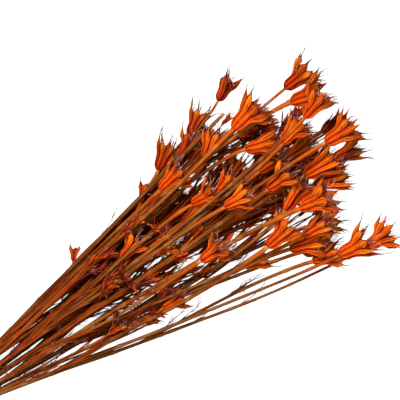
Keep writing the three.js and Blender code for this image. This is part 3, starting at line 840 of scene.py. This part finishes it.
# The finer stalk: its rings, ribs, tone with painted shade on the lower rows and near the band, wobble,
# knots, and the stain and swelling under each head
RING_STEP = 3.0
STALK_SIDES = 14
STALK_RIBS = 0.06
STALK_TONE = 0.25
PAINTED_LIGHT_PER_ROW = 0.14
TONE_CHANGE = (-0.22, 0.2)
TONE_WAVE = 0.15
TONE_WAVE_LENGTH = 60
SHADED = 0.25
SHADED_LENGTH = 120
WOBBLE = 0.3
WOBBLE_LENGTH = 23
THICKENING = 0.05
THICKENING_LENGTH = 11
UNEVEN = 0.012
FIRST_KNOT = (45, 70)
KNOT_APART = (38, 60)
KNOT_CLEAR = 12
KNOT_LENGTH = 2.6
KNOT_SWELL = 0.2
KNOT_BARE = 0.12
COLLAR_BELOW = 1.0
COLLAR_LENGTH = 2.0
INTO_HEAD = 1.2
NECK_DYED = (0.4, 0.95)
NECK_DYE = 34
NECK_REACH = 45
NECK_SWELL = 0.22
CUT_BARE = 0.8
CUT_LENGTH = 3.0
# How fine a bud's skin, beaks and threads are beside those of a large head
BUD_SCALE = 0.55

slots = []
for row, count in enumerate(ROW_SLOTS):
    for i in range(count):
        slots.append(np.array([((count - 1) / 2 - i) * SLOT_PITCH, BAND_MIDDLE + (row - 2) * ROW_PITCH]))


def plan_run(start, start_way, end, end_way, radius_from, radius_to):
    """A smooth plan from one point and heading to another: x, y, heading, running length and radius."""
    span = math.hypot(*(end - start))
    pull = span / 3
    guides = [start, start + pull * np.array([math.cos(start_way), math.sin(start_way)]),
              end - pull * np.array([math.cos(end_way), math.sin(end_way)]), end]
    steps = math.ceil(span / CELL)
    t = np.linspace(0, 1, steps + 1)[:, None]
    place = ((1 - t)**3 * guides[0] + 3 * (1 - t)**2 * t * guides[1]
             + 3 * (1 - t) * t**2 * guides[2] + t**3 * guides[3])
    way = ((1 - t)**2 * (guides[1] - guides[0]) + 2 * (1 - t) * t * (guides[2] - guides[1])
           + t**2 * (guides[3] - guides[2]))
    length = np.concatenate([[0], np.cumsum(np.hypot(*np.diff(place, axis=0).T))])
    radius = radius_from + (radius_to - radius_from) * t[:, 0]
    return dict(place=place, way=np.arctan2(way[:, 1], way[:, 0]), length=length, radius=radius)


def ring_heights(plan, points, sides):
    """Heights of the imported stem's rings along a plan, as running lengths and heights."""
    gaps = points[:, None, :2] - plan["place"][None]
    far = np.hypot(gaps[..., 0], gaps[..., 1])
    nearest = far.argmin(axis=1)
    rows = np.arange(len(points))
    ways = plan["way"][nearest]
    forward = gaps[rows, nearest, 0] * np.cos(ways) + gaps[rows, nearest, 1] * np.sin(ways)
    along = plan["length"][nearest] + forward
    radius = plan["radius"][nearest]
    kept = (far[rows, nearest] < radius + RING_ACROSS) & (np.abs(forward) < RING_ALONG)
    order = np.argsort(along[kept])
    along, close, radius = along[kept][order], points[kept][order], radius[kept][order]
    found = []
    for i in range(len(close) - sides + 1):
        ring = close[i:i + sides]
        middle = ring.mean(axis=0)
        reach = np.linalg.norm(ring - middle, axis=1)
        spread = along[i + sides - 1] - along[i]
        if spread < RING_SPREAD and np.all(np.abs(reach - radius[i]) < RING_ROUND * radius[i]):
            found.append((along[i:i + sides].mean(), middle[2]))
    return found


def stem_line(run, slot, main, points):
    """The plan of a run of stem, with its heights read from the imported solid."""
    axis = run["turn"][:, 0]
    neck = run["end"] - NECK * axis[:2]
    if main is None:
        fan = math.atan2(run["end"][1] - slot[0], run["end"][0] - STRAIGHT)
        start = np.array([LEAVE_X, slot[0] + math.tan(fan) * LEAVE_SHARE * (LEAVE_X - STRAIGHT)])
        start_way, start_radius = fan, STEM_RADIUS
    else:
        away = np.hypot(*(main["place"] - run["end"]).T).min()
        back = min(max(FORK_BACK + FORK_PER_MM * away, FORK_LIMITS[0]), FORK_LIMITS[1])
        fork = int(np.argmax(main["place"][:, 0] >= max(FORK_FIRST, run["end"][0] - back)))
        start = main["place"][fork]
        towards = math.atan2(*(run["end"] - start)[::-1])
        aside = towards - main["way"][fork]
        lean = max(math.radians(FORK_LEAN), abs(aside)) * math.copysign(1, aside)
        start_way = main["way"][fork] + lean
        start_radius = FORK_TAPER * min(main["radius"][fork], run["radius"])
    chord = math.atan2(*(neck - start)[::-1])
    end_way = chord + END_TURN * (run["way"] - chord)
    plan = plan_run(start, start_way, neck, end_way, start_radius, run["radius"])
    rings = ring_heights(plan, points, MAIN_SIDES if main is None else BRANCH_SIDES)
    if main is not None:
        rings.insert(0, (0.0, float(np.interp(main["length"][fork], main["length"], main["height"]))))
    plan["height"] = np.interp(plan["length"], [r[0] for r in rings], [r[1] for r in rings])
    return plan


def soften(values, reach):
    """Evens out a line of values over a number of its points, with its ends kept."""
    padded = np.concatenate([np.full(reach, values[0]), values, np.full(reach, values[-1])])
    window = np.hanning(2 * reach + 1)
    soft = np.convolve(padded, window / window.sum(), "valid")
    ends = np.minimum(np.arange(len(values)), np.arange(len(values))[::-1]) / reach
    return values + (soft - values) * np.clip(ends, 0, 1)


def stem_material(name, lit, deep, pale, knot_dark, dyed):
    """Dry ribbed stalk: long streaks between ochre and dark brown, a shaded and a lit colour mixed by the
    painted shade in its tint, pale where the skin has split.
    """
    material, tree, shader = new_material(name)
    width, along = lay_out(tree)
    tone, bare, neck = tint_of(tree)
    around = reckon(tree, "SINE", reckon(tree, "MULTIPLY", width, 2 * math.pi))
    fibre = place_group(tree, dried_fibre, {"Across": around, "Along": along, "Change": tone,
                                            "Fineness": 8.0, "Stretch": 0.9})
    spots = place_group(tree, blotches, {"Size": 70.0, "Amount": 0.7})
    # Painted shade: the first tint value mixes the deep, shaded colour with the lit one, together with a
    # random tone
    bark = mixed(tree, tone, deep, lit)
    bark = washed(tree, fibre.outputs["Streaks"], 0.7, bark, deep)
    bark = washed(tree, spots.outputs["Mask"], 0.5, bark, knot_dark)
    bark = washed(tree, fibre.outputs["Broad"], 0.16, bark, pale)
    bark = mixed(tree, neck, bark, dyed)
    bark = mixed(tree, bare, bark, pale)
    tree.links.new(bark, shader.inputs["Base Color"])
    rough = eased(tree, fibre.outputs["Streaks"], 0.0, 1.0, 0.45, 0.7)
    tree.links.new(rough, shader.inputs["Roughness"])
    shader.inputs["Specular IOR Level"].default_value = 0.06
    bump_from(tree, shader, fibre.outputs["Streaks"], 0.7, 0.0004)
    return material


stem_skin = stem_material("dried stem", colour("8E3E00"), colour("3C1001"), colour("D89C50"),
                          colour("1E0702"), colour("B04C02"))
cut_pith, pith_tree, pith_shader = new_material("cut pith")
pith_spots = place_group(pith_tree, blotches, {"Size": 900.0, "Amount": 0.8})
pith_hue = mixed(pith_tree, pith_spots.outputs["Mask"], colour("E6C893"), colour("A8743C"))
pith_tree.links.new(pith_hue, pith_shader.inputs["Base Color"])
pith_shader.inputs["Roughness"].default_value = 0.85

stem_rng = np.random.default_rng(7)
for index, runs in enumerate(SPRIGS):
    name = f"stem_{index + 1:02d}"
    points = np.unique(np.round(cad_points(name), 3), axis=0)
    slot = slots[index]
    skin = new_skin()
    main = None
    # Painted shade: the stems of the lower rows get a darker tone, with a random tone on top
    tone = STALK_TONE + PAINTED_LIGHT_PER_ROW * row_of[index] + stem_rng.uniform(*TONE_CHANGE)
    for run in runs:
        plan = stem_line(run, slot, main, points)
        path = np.column_stack([plan["place"], plan["height"]])
        radii = plan["radius"]
        if main is None:
            tail_height = BAND_MIDDLE + (slot[1] - BAND_MIDDLE) * TAIL_LIFT
            lead = np.array([[-run["tail"], slot[0] * TAIL_SPREAD, tail_height],
                             [-STRAIGHT, slot[0], slot[1]], [STRAIGHT, slot[0], slot[1]]])
            path = np.vstack([lead, path])
            radii = np.concatenate([[STEM_RADIUS] * 3, radii])
        if run["kind"] == "cut":
            last = path[-1] + unit(path[-1] - path[-9]) * NECK
        else:
            last = np.array([*run["end"], run["foot"]]) + run["turn"][:, 0] * INTO_HEAD
        path = np.vstack([path, last])
        radii = np.append(radii, run["radius"])
        run["path"] = path
        spent = np.concatenate([[0], np.cumsum(np.linalg.norm(np.diff(path, axis=0), axis=1))])
        count = int(spent[-1] / RING_STEP)
        stops = np.linspace(0, spent[-1], count + 1)
        line = np.column_stack([soften(np.interp(stops, spent, path[:, k]), 4) for k in range(3)])
        radius = np.interp(stops, spent, radii)
        wobble = stem_rng.uniform(0, 2 * math.pi, 2)
        line[:, 1] += WOBBLE * np.sin(stops / WOBBLE_LENGTH + wobble[0])
        thickening = THICKENING * np.sin(stops / THICKENING_LENGTH + wobble[1])
        radius = radius * (1 + thickening + stem_rng.normal(0, UNEVEN, len(stops)))
        first = stem_rng.uniform(*FIRST_KNOT)
        knots = np.arange(first, stops[-1] - KNOT_CLEAR, stem_rng.uniform(*KNOT_APART))
        swell = sum((np.exp(-((stops - knot) / KNOT_LENGTH) ** 2) for knot in knots), np.zeros(len(stops)))
        radius = radius * (1 + KNOT_SWELL * swell)
        below = stops[-1] - stops
        collar = np.exp(-((below - COLLAR_BELOW) / COLLAR_LENGTH) ** 2)
        bare = collar * stem_rng.uniform(0, 1) ** 2 + KNOT_BARE * swell
        neck = np.exp(-(below / NECK_DYE) ** 2) * stem_rng.uniform(*NECK_DYED)
        if run["kind"] == "cut":
            bare, neck = CUT_BARE * np.exp(-(below / CUT_LENGTH) ** 2), 0 * neck
        else:
            radius = radius * (1 + NECK_SWELL * np.exp(-(below / NECK_REACH) ** 2))
        # Painted shade, darker towards the band; the wave along the stem is random tone
        shaded = SHADED * np.exp(-np.maximum(line[:, 0], 0) / SHADED_LENGTH)
        toned_and_shaded = np.clip(tone - shaded + TONE_WAVE * np.sin(stops / TONE_WAVE_LENGTH + wobble[0]), 0, 1)
        tint = np.column_stack([toned_and_shaded, bare, neck, np.ones(len(stops))])[:, None]
        add_tube(skin, line, radius, STALK_SIDES, tint, ribs=STALK_RIBS, along=stops / 10)
        # The stem's cut foot, and the cut end that has lost its head, show their pith
        if main is None:
            skin["finish"][-2] = 1
            main = plan
        if run["kind"] == "cut":
            skin["finish"][-1] = 1
    stem = piece_from(skin, name + "_stalk", [stem_skin, cut_pith])
    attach(stem, "root")
    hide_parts(name)
    # The buds take their stem's tone, with its painted shade
    for order, run in enumerate(runs):
        if run["kind"] == "bud":
            build_head(run, f"{name}_bud_{order}", stem_rng, tone, scale=BUD_SCALE)


# Side shoots, leaf threads, withered flowers and painted shade
# Thin side shoots fork off the stems and fill the bunch between them. They end in flowers that withered
# before they set fruit, and carry what is left of the leaves: finely divided dark threads, dry and curled.
# The dark withered flowers and bracts are partly painted shade: dark sheets put deep between the stems and
# heads where shade falls.
shoot_skin = stem_material("thin shoot", colour("A84202"), colour("581400"), colour("B87838"),
                           colour("300A02"), colour("A84202"))
leaf_thread = hair_material("leaf thread", colour("802404"), colour("641602"), colour("8A4C3A"), 0.7)
bract_and_shade_skin = head_material("withered bract and painted shade", colour("D23A02"), colour("801800"), colour("D06A28"),
                           colour("380A02"), colour("5A1404"), 0.7, 0.0003)
# Where shoots end, as number, lowest and highest fan angle, nearest and furthest reach
SHOOT_FIELDS = ((150, -1, 12, 265, 385), (80, -3, 7, 340, 430), (40, -4, 10, 190, 300),
                (55, 0.5, 6, 385, 442), (25, 6, 9, 385, 412), (30, 9.5, 13.5, 300, 365),
                (6, -7, -4.5, 390, 412), (8, 1.2, 2.4, 450, 464))
# The same for the shoots that lie on top of the stems
TOP_FIELDS = ((20, -9, 2, 190, 330), (24, 2, 11, 190, 300))
SHOOT_FIRST = 45
SHOOT_BACK = (80, 190)
SHOOT_LEAN = 13
SHOOT_LOW = (2.5, 34)
SHOOT_LOWEST = 3.0
SHOOT_UNDER = 4
SHOOT_SAG = 0.55
SHOOT_SWAY = 0.9
SHOOT_SWAYS = (0.8, 1.6)
SHOOT_POINTS = 21
SHOOT_CLEAR = 0.3
SHOOT_RADIUS = (0.8, 1.35)
SHOOT_TAPER = 0.55
SHOOT_SIDES = 6
SHOOT_TONE = 0.15
SHOOT_PAINTED_LIGHT_PER_ROW = 0.12
SHOOT_TONE_CHANGE = (-0.1, 0.3)
SHOOT_FIBRE = 12
EDGES = (-5, 10)
TRIES = 30
CLEAR = 0.34
UNDER = 6
# Leaves: how many along each sprig's stems and shoots, from where, and their threads
LEAVES = 11
LEAVES_FROM = 45
LEAF_LENGTH = (24, 52)
LEAF_FALL = 0.25
LEAF_LEAN = (0.1, 0.4)
LEAF_CLEAR = 0.6
LEAF_RADII = (0.4, 0.24)
LAST_LEAF = (8, 16)
LEAFLETS = 5
LEAFLET_LENGTH = (6, 16)
LEAFLET_BEND = 0.7
LEAFLET_CLEAR = 0.4
LEAFLET_RADII = (0.28, 0.14)
LEAFLET_FORKS = ((0.5, 1.0), (0.15, 0.7))
# Bracts and petals: how many along each sprig and in each withered flower, and their form. The dark ones
# are partly painted shade between the stems.
BRACTS = 16
BRACTS_FROM = 230
BARE_EDGE = -6.5
BRACT_LENGTH = (12, 26)
BRACT_WIDTH = (2.2, 5.0)
BRACT_FALL = 0.2
BRACT_LEAN = (0.1, 0.6)
BRACT_TURN = 1.2
BRACT_ARCH = 0.5
BRACT_BLUNT = 0.08
BRACT_TAPER = 0.9
BRACT_FULLNESS = 0.8
BRACT_STEPS = 7
BRACT_COLUMNS = 5
BEND = 0.35
WITHERED = 5
WITHERED_SIZE = 0.9
FLOWER_LEAN = (0.1, 0.5)
# The shoots on top of the stems carry flowers that have kept some of their dye
TOP_NEAR = 3.0
TOP_CLEAR = 0.6
TOP_RISE = 0.2
TOP_BURIED = 1.5
TOP_FLOWER = 4
TOP_PETAL_LENGTH = (11, 17)
TOP_PETAL_WIDTH = (3.6, 5.4)
TOP_THREAD_LENGTH = (8, 15)
TOP_THREAD_RADII = (0.3, 0.15)

heads = [run for runs in SPRIGS for run in runs if run["kind"] != "cut"]
head_axes = np.array([run["turn"][:, 0] for run in heads])
head_feet = np.array([[*run["end"], run["foot"]] for run in heads])
head_lengths = np.array([run["length"] for run in heads])


def hides_a_head(line):
    """Whether a line passes through or over a seed head, seen from above."""
    apart = line[:, None] - head_feet[None]
    along = np.clip(np.einsum("phk,hk->ph", apart, head_axes), 0, head_lengths)
    gap = apart - along[..., None] * head_axes
    beside = np.hypot(gap[..., 0], gap[..., 1])
    return bool(np.any((beside < CLEAR * head_lengths) & (gap[..., 2] > -UNDER)))


def way_out(rng, start):
    """A random direction across the bunch, which points inwards near the bunch's two edges."""
    angle = rng.uniform(0, 2 * math.pi)
    out = np.array([0, math.cos(angle), math.sin(angle)])
    if not EDGES[0] < math.degrees(math.atan2(start[1], start[0])) < EDGES[1]:
        out[1] = -math.copysign(out[1], start[1])
    return out


def add_bract(skin, rng, start, way, length, width, lean=BRACT_LEAN, finish=0):
    """A withered, rolled bract: a thin pointed ribbon that twists and falls back on the stem."""
    out = way_out(rng, start)
    bend = rng.normal(0, BEND, 3) - np.array([0, 0, BRACT_FALL])
    line = hair_path(start, unit(way) + out * rng.uniform(*lean), bend, length, BRACT_STEPS)
    side, up = ring_frame(line)
    along = np.linspace(0, 1, len(line))
    half = width / 2 * np.sin(math.pi * (along * BRACT_TAPER + BRACT_BLUNT)) ** BRACT_FULLNESS
    turn = rng.uniform(0, 2 * math.pi) + rng.normal(0, BRACT_TURN) * along
    across = side * np.cos(turn)[:, None] + up * np.sin(turn)[:, None]
    arch = np.cross(across, np.gradient(line, axis=0))
    arch /= np.linalg.norm(arch, axis=1)[:, None]
    w = np.linspace(-1, 1, BRACT_COLUMNS)[None, :, None]
    grid = line[:, None] + across[:, None] * w * half[:, None, None]
    grid = grid + arch[:, None] * (BRACT_ARCH * (1 - w**2)) * half[:, None, None]
    tone = [rng.uniform(0.5 * finish, 1), rng.uniform(0, 1 - 0.5 * finish), rng.uniform(0, 1), 1]
    add_grid(skin, grid, np.linspace(0, 1, BRACT_COLUMNS), along, tone, finish)


def add_leaf(skin, rng, start, way, size):
    """A leaf of dry threads: a midrib that falls back along the stem, with side threads that fork."""
    out = way_out(rng, start)
    bend = rng.normal(0, BEND, 3) - np.array([0, 0, LEAF_FALL])
    rib = hair_path(start, unit(way) + out * rng.uniform(*LEAF_LEAN), bend, size, 8)
    rib[:, 2] = np.maximum(rib[:, 2], LEAF_CLEAR)
    add_hair(skin, rib, *LEAF_RADII, 4)
    for _ in range(LEAFLETS):
        at = int(rng.integers(2, len(rib) - 1))
        forward = unit(rib[at + 1] - rib[at])
        aside = unit(np.cross(forward, rng.normal(0, 1, 3)))
        length = rng.uniform(*LEAFLET_LENGTH)
        for lean, share in LEAFLET_FORKS:
            bend = rng.normal(0, LEAFLET_BEND, 3)
            path = hair_path(rib[at], forward + aside * lean, bend, length * share, 4)
            path[:, 2] = np.maximum(path[:, 2], LEAFLET_CLEAR)
            add_hair(skin, path, *LEAFLET_RADII, 3)


thread_rng = np.random.default_rng(19)
carriers = [[run["path"] for run in runs] for runs in SPRIGS]
# Every fourth point of the stems can bear a shoot, which leaves along the stem's way over the next twelve
fork_points = np.concatenate([path[:-12:4] for paths in carriers for path in paths])
fork_ways = np.concatenate([(path[12:] - path[:-12])[::4] for paths in carriers for path in paths])
fork_ways /= np.linalg.norm(fork_ways, axis=1)[:, None]
fork_sprigs = np.concatenate([[index] * len(path[:-12:4])
                              for index, paths in enumerate(carriers) for path in paths])
stem_cloud = np.concatenate([path[::6] for paths in carriers for path in paths])


def top_of_stems(line):
    """Height of the highest stem near each point of a line."""
    apart = np.linalg.norm(line[:, None, :2] - stem_cloud[None, :, :2], axis=2)
    return np.where(apart < TOP_NEAR, stem_cloud[None, :, 2] + STEM_RADIUS, 0).max(axis=1)


def grow_shoot(rng, on_top, low_angle, high_angle, near, far):
    """A side shoot that leaves a stem along its own way and ends at a random place of a field."""
    for _ in range(TRIES):
        angle = math.radians(rng.uniform(low_angle, high_angle))
        reach = rng.uniform(near, far)
        target = reach * np.array([math.cos(angle), math.sin(angle)])
        gap = target - fork_points[:, :2]
        distance = np.hypot(gap[:, 0], gap[:, 1])
        turn = np.arctan2(gap[:, 1], gap[:, 0]) - np.arctan2(fork_ways[:, 1], fork_ways[:, 0])
        fits = (distance > SHOOT_BACK[0]) & (distance < SHOOT_BACK[1])
        fits &= (np.abs(turn) < math.radians(SHOOT_LEAN)) & (fork_points[:, 0] > SHOOT_FIRST)
        if not fits.any():
            continue
        fork = int(rng.choice(np.flatnonzero(fits)))
        start, way, span = fork_points[fork], fork_ways[fork], distance[fork]
        height = min(rng.uniform(*SHOOT_LOW), max(SHOOT_LOWEST, start[2] - SHOOT_UNDER))
        end = np.array([*target, height])
        knee = start + way * span * 0.5
        knee[2] = start[2] - SHOOT_SAG * (start[2] - height)
        t = np.linspace(0, 1, SHOOT_POINTS)[:, None]
        line = (1 - t)**2 * start + 2 * (1 - t) * t * knee + t**2 * end
        sway = rng.normal(0, SHOOT_SWAY, 2)
        line[:, 1:] += sway * np.sin(2 * math.pi * t * rng.uniform(*SHOOT_SWAYS)) * t
        if on_top:
            tops = top_of_stems(line)
            if tops[0] > start[2] + TOP_BURIED * STEM_RADIUS:
                continue
            rise = smooth_step(t[:, 0] / TOP_RISE)
            line[:, 2] = soften(np.maximum(line[:, 2], start[2] + (tops + TOP_CLEAR - start[2]) * rise), 3)
        if not hides_a_head(line):
            return int(fork_sprigs[fork]), line
    return None


shoots = [[] for _ in SPRIGS]
top_shoots = [[] for _ in SPRIGS]
for fields, grown_shoots in ((SHOOT_FIELDS, shoots), (TOP_FIELDS, top_shoots)):
    for number, *field in fields:
        for _ in range(number):
            grown = grow_shoot(thread_rng, grown_shoots is top_shoots, *field)
            if grown:
                grown_shoots[grown[0]].append(grown[1])

for index, runs in enumerate(SPRIGS):
    twigs, leaves, bracts = new_skin(), new_skin(), new_skin()
    # Painted shade: the shoots of the lower rows get a darker tone, with a random tone on top
    tone = SHOOT_TONE + SHOOT_PAINTED_LIGHT_PER_ROW * row_of[index]
    for line in shoots[index] + top_shoots[index]:
        thick = thread_rng.uniform(*SHOOT_RADIUS)
        line[:, 2] = np.maximum(line[:, 2], thick + SHOOT_CLEAR)
        tint = [np.clip(tone + thread_rng.uniform(*SHOOT_TONE_CHANGE), 0, 1), 0, 0, 1]
        add_tube(twigs, line, np.linspace(thick, thick * SHOOT_TAPER, len(line)), SHOOT_SIDES, tint,
                 along=np.linspace(0, SHOOT_FIBRE, len(line)))
        way = line[-1] - line[-3]
        # Painted shade in part: dark withered flowers that stand in for heads in shade deep in the bunch
        for _ in range(WITHERED):
            add_bract(bracts, thread_rng, line[-1], way, thread_rng.uniform(*BRACT_LENGTH) * WITHERED_SIZE,
                      thread_rng.uniform(*BRACT_WIDTH), FLOWER_LEAN)
        add_leaf(leaves, thread_rng, line[-1], way, thread_rng.uniform(*LAST_LEAF))
        carriers[index].append(line)
    for line in top_shoots[index]:
        way = unit(line[-1] - line[-3])
        for _ in range(TOP_FLOWER):
            add_bract(bracts, thread_rng, line[-1], way, thread_rng.uniform(*TOP_PETAL_LENGTH),
                      thread_rng.uniform(*TOP_PETAL_WIDTH), FLOWER_LEAN, finish=1)
        for _ in range(TOP_FLOWER):
            bend = thread_rng.normal(0, THREAD_BEND, 3)
            path = hair_path(line[-1], way, bend, thread_rng.uniform(*TOP_THREAD_LENGTH), 6)
            add_hair(bracts, path, *TOP_THREAD_RADII, 4, finish=2)
    # Leaves along the stems, and dark bracts that are partly painted shade, put between the stems where
    # shade falls
    for wanted, nearest, is_leaf in ((LEAVES, LEAVES_FROM, True), (BRACTS, BRACTS_FROM, False)):
        for _ in range(wanted):
            line = carriers[index][int(thread_rng.integers(len(carriers[index])))]
            ahead = np.flatnonzero(line[:, 0] > nearest)[:-4]
            if not len(ahead):
                continue
            at = int(thread_rng.choice(ahead))
            way = line[at + 3] - line[at]
            if hides_a_head(line[at:at + 1]):
                continue
            if is_leaf:
                add_leaf(leaves, thread_rng, line[at], way, thread_rng.uniform(*LEAF_LENGTH))
            elif math.degrees(math.atan2(line[at, 1], line[at, 0])) >= BARE_EDGE:
                add_bract(bracts, thread_rng, line[at], way, thread_rng.uniform(*BRACT_LENGTH),
                          thread_rng.uniform(*BRACT_WIDTH))
    name = f"stem_{index + 1:02d}"
    for skin, title, materials in ((twigs, "_shoots", [shoot_skin]), (leaves, "_leaves", [leaf_thread]),
                                   (bracts, "_bracts_and_shade", [bract_and_shade_skin, pod_skin, inner_thread])):
        if skin["count"]:
            piece = piece_from(skin, name + title, materials)
            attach(piece, "root")


# Elastic band
# A plain natural rubber band round the hexagon of stems. It is stretched on, holds them by its own pull
# and lies flat underneath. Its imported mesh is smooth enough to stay.
band_rubber, band_tree, band_shader = new_material("natural rubber")
band_spots = place_group(band_tree, blotches, {"Size": 300.0, "Amount": 0.4})
band_hue = mixed(band_tree, band_spots.outputs["Mask"], colour("B79A6C"), colour("8E744C"))
band_tree.links.new(band_hue, band_shader.inputs["Base Color"])
band_shader.inputs["Roughness"].default_value = 0.55
band_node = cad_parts["band"]
band_node.data.materials.clear()
band_node.data.materials.append(band_rubber)


# Surface
# A plain white surface that the bunch lies on, far wider than the view. It gives off light of its own,
# so that shadows on it stay faint, and it neither lights the bunch nor shows in its gloss.
bpy.ops.mesh.primitive_plane_add(size=60, location=(0.2, 0, 0))
surface = bpy.context.object
surface.name = "surface"
surface_white, _, surface_shader = new_material("white surface")
surface_shader.inputs["Base Color"].default_value = (0.3, 0.3, 0.3, 1)
surface_shader.inputs["Roughness"].default_value = 0.9
surface_shader.inputs["Specular IOR Level"].default_value = 0.0
surface_shader.inputs["Emission Color"].default_value = (1, 1, 1, 1)
surface_shader.inputs["Emission Strength"].default_value = 0.97
surface.data.materials.append(surface_white)
surface.visible_diffuse = False
surface.visible_glossy = False


# Studio light
# Round soft boxes hang over the surface and beside it, slightly warm.
# Round them is a pale room that is dark below the horizon.
LAMP_COLOUR = (1.0, 0.95, 0.89)
LAMP_AIM = (0.28, 0, 0.04)


def soft_box(name, place, size, power):
    """A round lamp that points at the bunch and isn't seen itself."""
    light = bpy.data.lights.new(name, "AREA")
    light.shape = "DISK"
    light.size = size
    light.energy = power
    light.color = LAMP_COLOUR
    lamp = bpy.data.objects.new(name, light)
    bpy.context.scene.collection.objects.link(lamp)
    lamp.location = place
    way = Vector(np.array(LAMP_AIM) - np.array(place))
    lamp.rotation_euler = way.to_track_quat("-Z", "Y").to_euler()
    lamp.visible_camera = False


soft_box("key_light", (0.45, 0.7, 1.9), 0.5, 63)
soft_box("top_light", (0.5, -0.6, 2.2), 1.0, 20)
soft_box("front_fill", (0.2, -1.8, 0.7), 1.2, 6)
soft_box("back_fill", (0.3, 1.8, 0.6), 1.2, 4)

world = bpy.data.worlds.new("room")
bpy.context.scene.world = world
world.use_nodes = True
room = world.node_tree
room_place = add_node(room, "ShaderNodeTexCoord")
room_parts = add_node(room, "ShaderNodeSeparateXYZ")
room.links.new(room_place.outputs["Generated"], room_parts.inputs[0])
above_horizon = eased(room, room_parts.outputs["Z"], -0.05, 0.02)
room_hue = mixed(room, above_horizon, (0.02, 0.02, 0.02, 1), (1, 0.95, 0.91, 1))
room.links.new(room_hue, room.nodes["Background"].inputs["Color"])
room.nodes["Background"].inputs["Strength"].default_value = 0.35


# Camera
# It looks straight down from high above, turned so that the stems run from the lower left to the upper
# right, and cuts them off where the photograph does. Sizes are in metres, the sensor's in millimetres.
VIEW_WIDTH = 0.38
VIEW_MIDDLE = (0.3216, 0.0283)
VIEW_TURN = -34
CAMERA_HEIGHT = 6.0
SENSOR = 36.0
camera = bpy.data.cameras.new("camera")
camera.sensor_width = SENSOR
camera.lens = SENSOR * CAMERA_HEIGHT / VIEW_WIDTH
camera.clip_end = 100
eye = bpy.data.objects.new("camera", camera)
bpy.context.scene.collection.objects.link(eye)
eye.location = (*VIEW_MIDDLE, CAMERA_HEIGHT)
eye.rotation_euler = (0, 0, math.radians(VIEW_TURN))
bpy.context.scene.camera = eye
bpy.context.scene.view_settings.view_transform = "Standard"
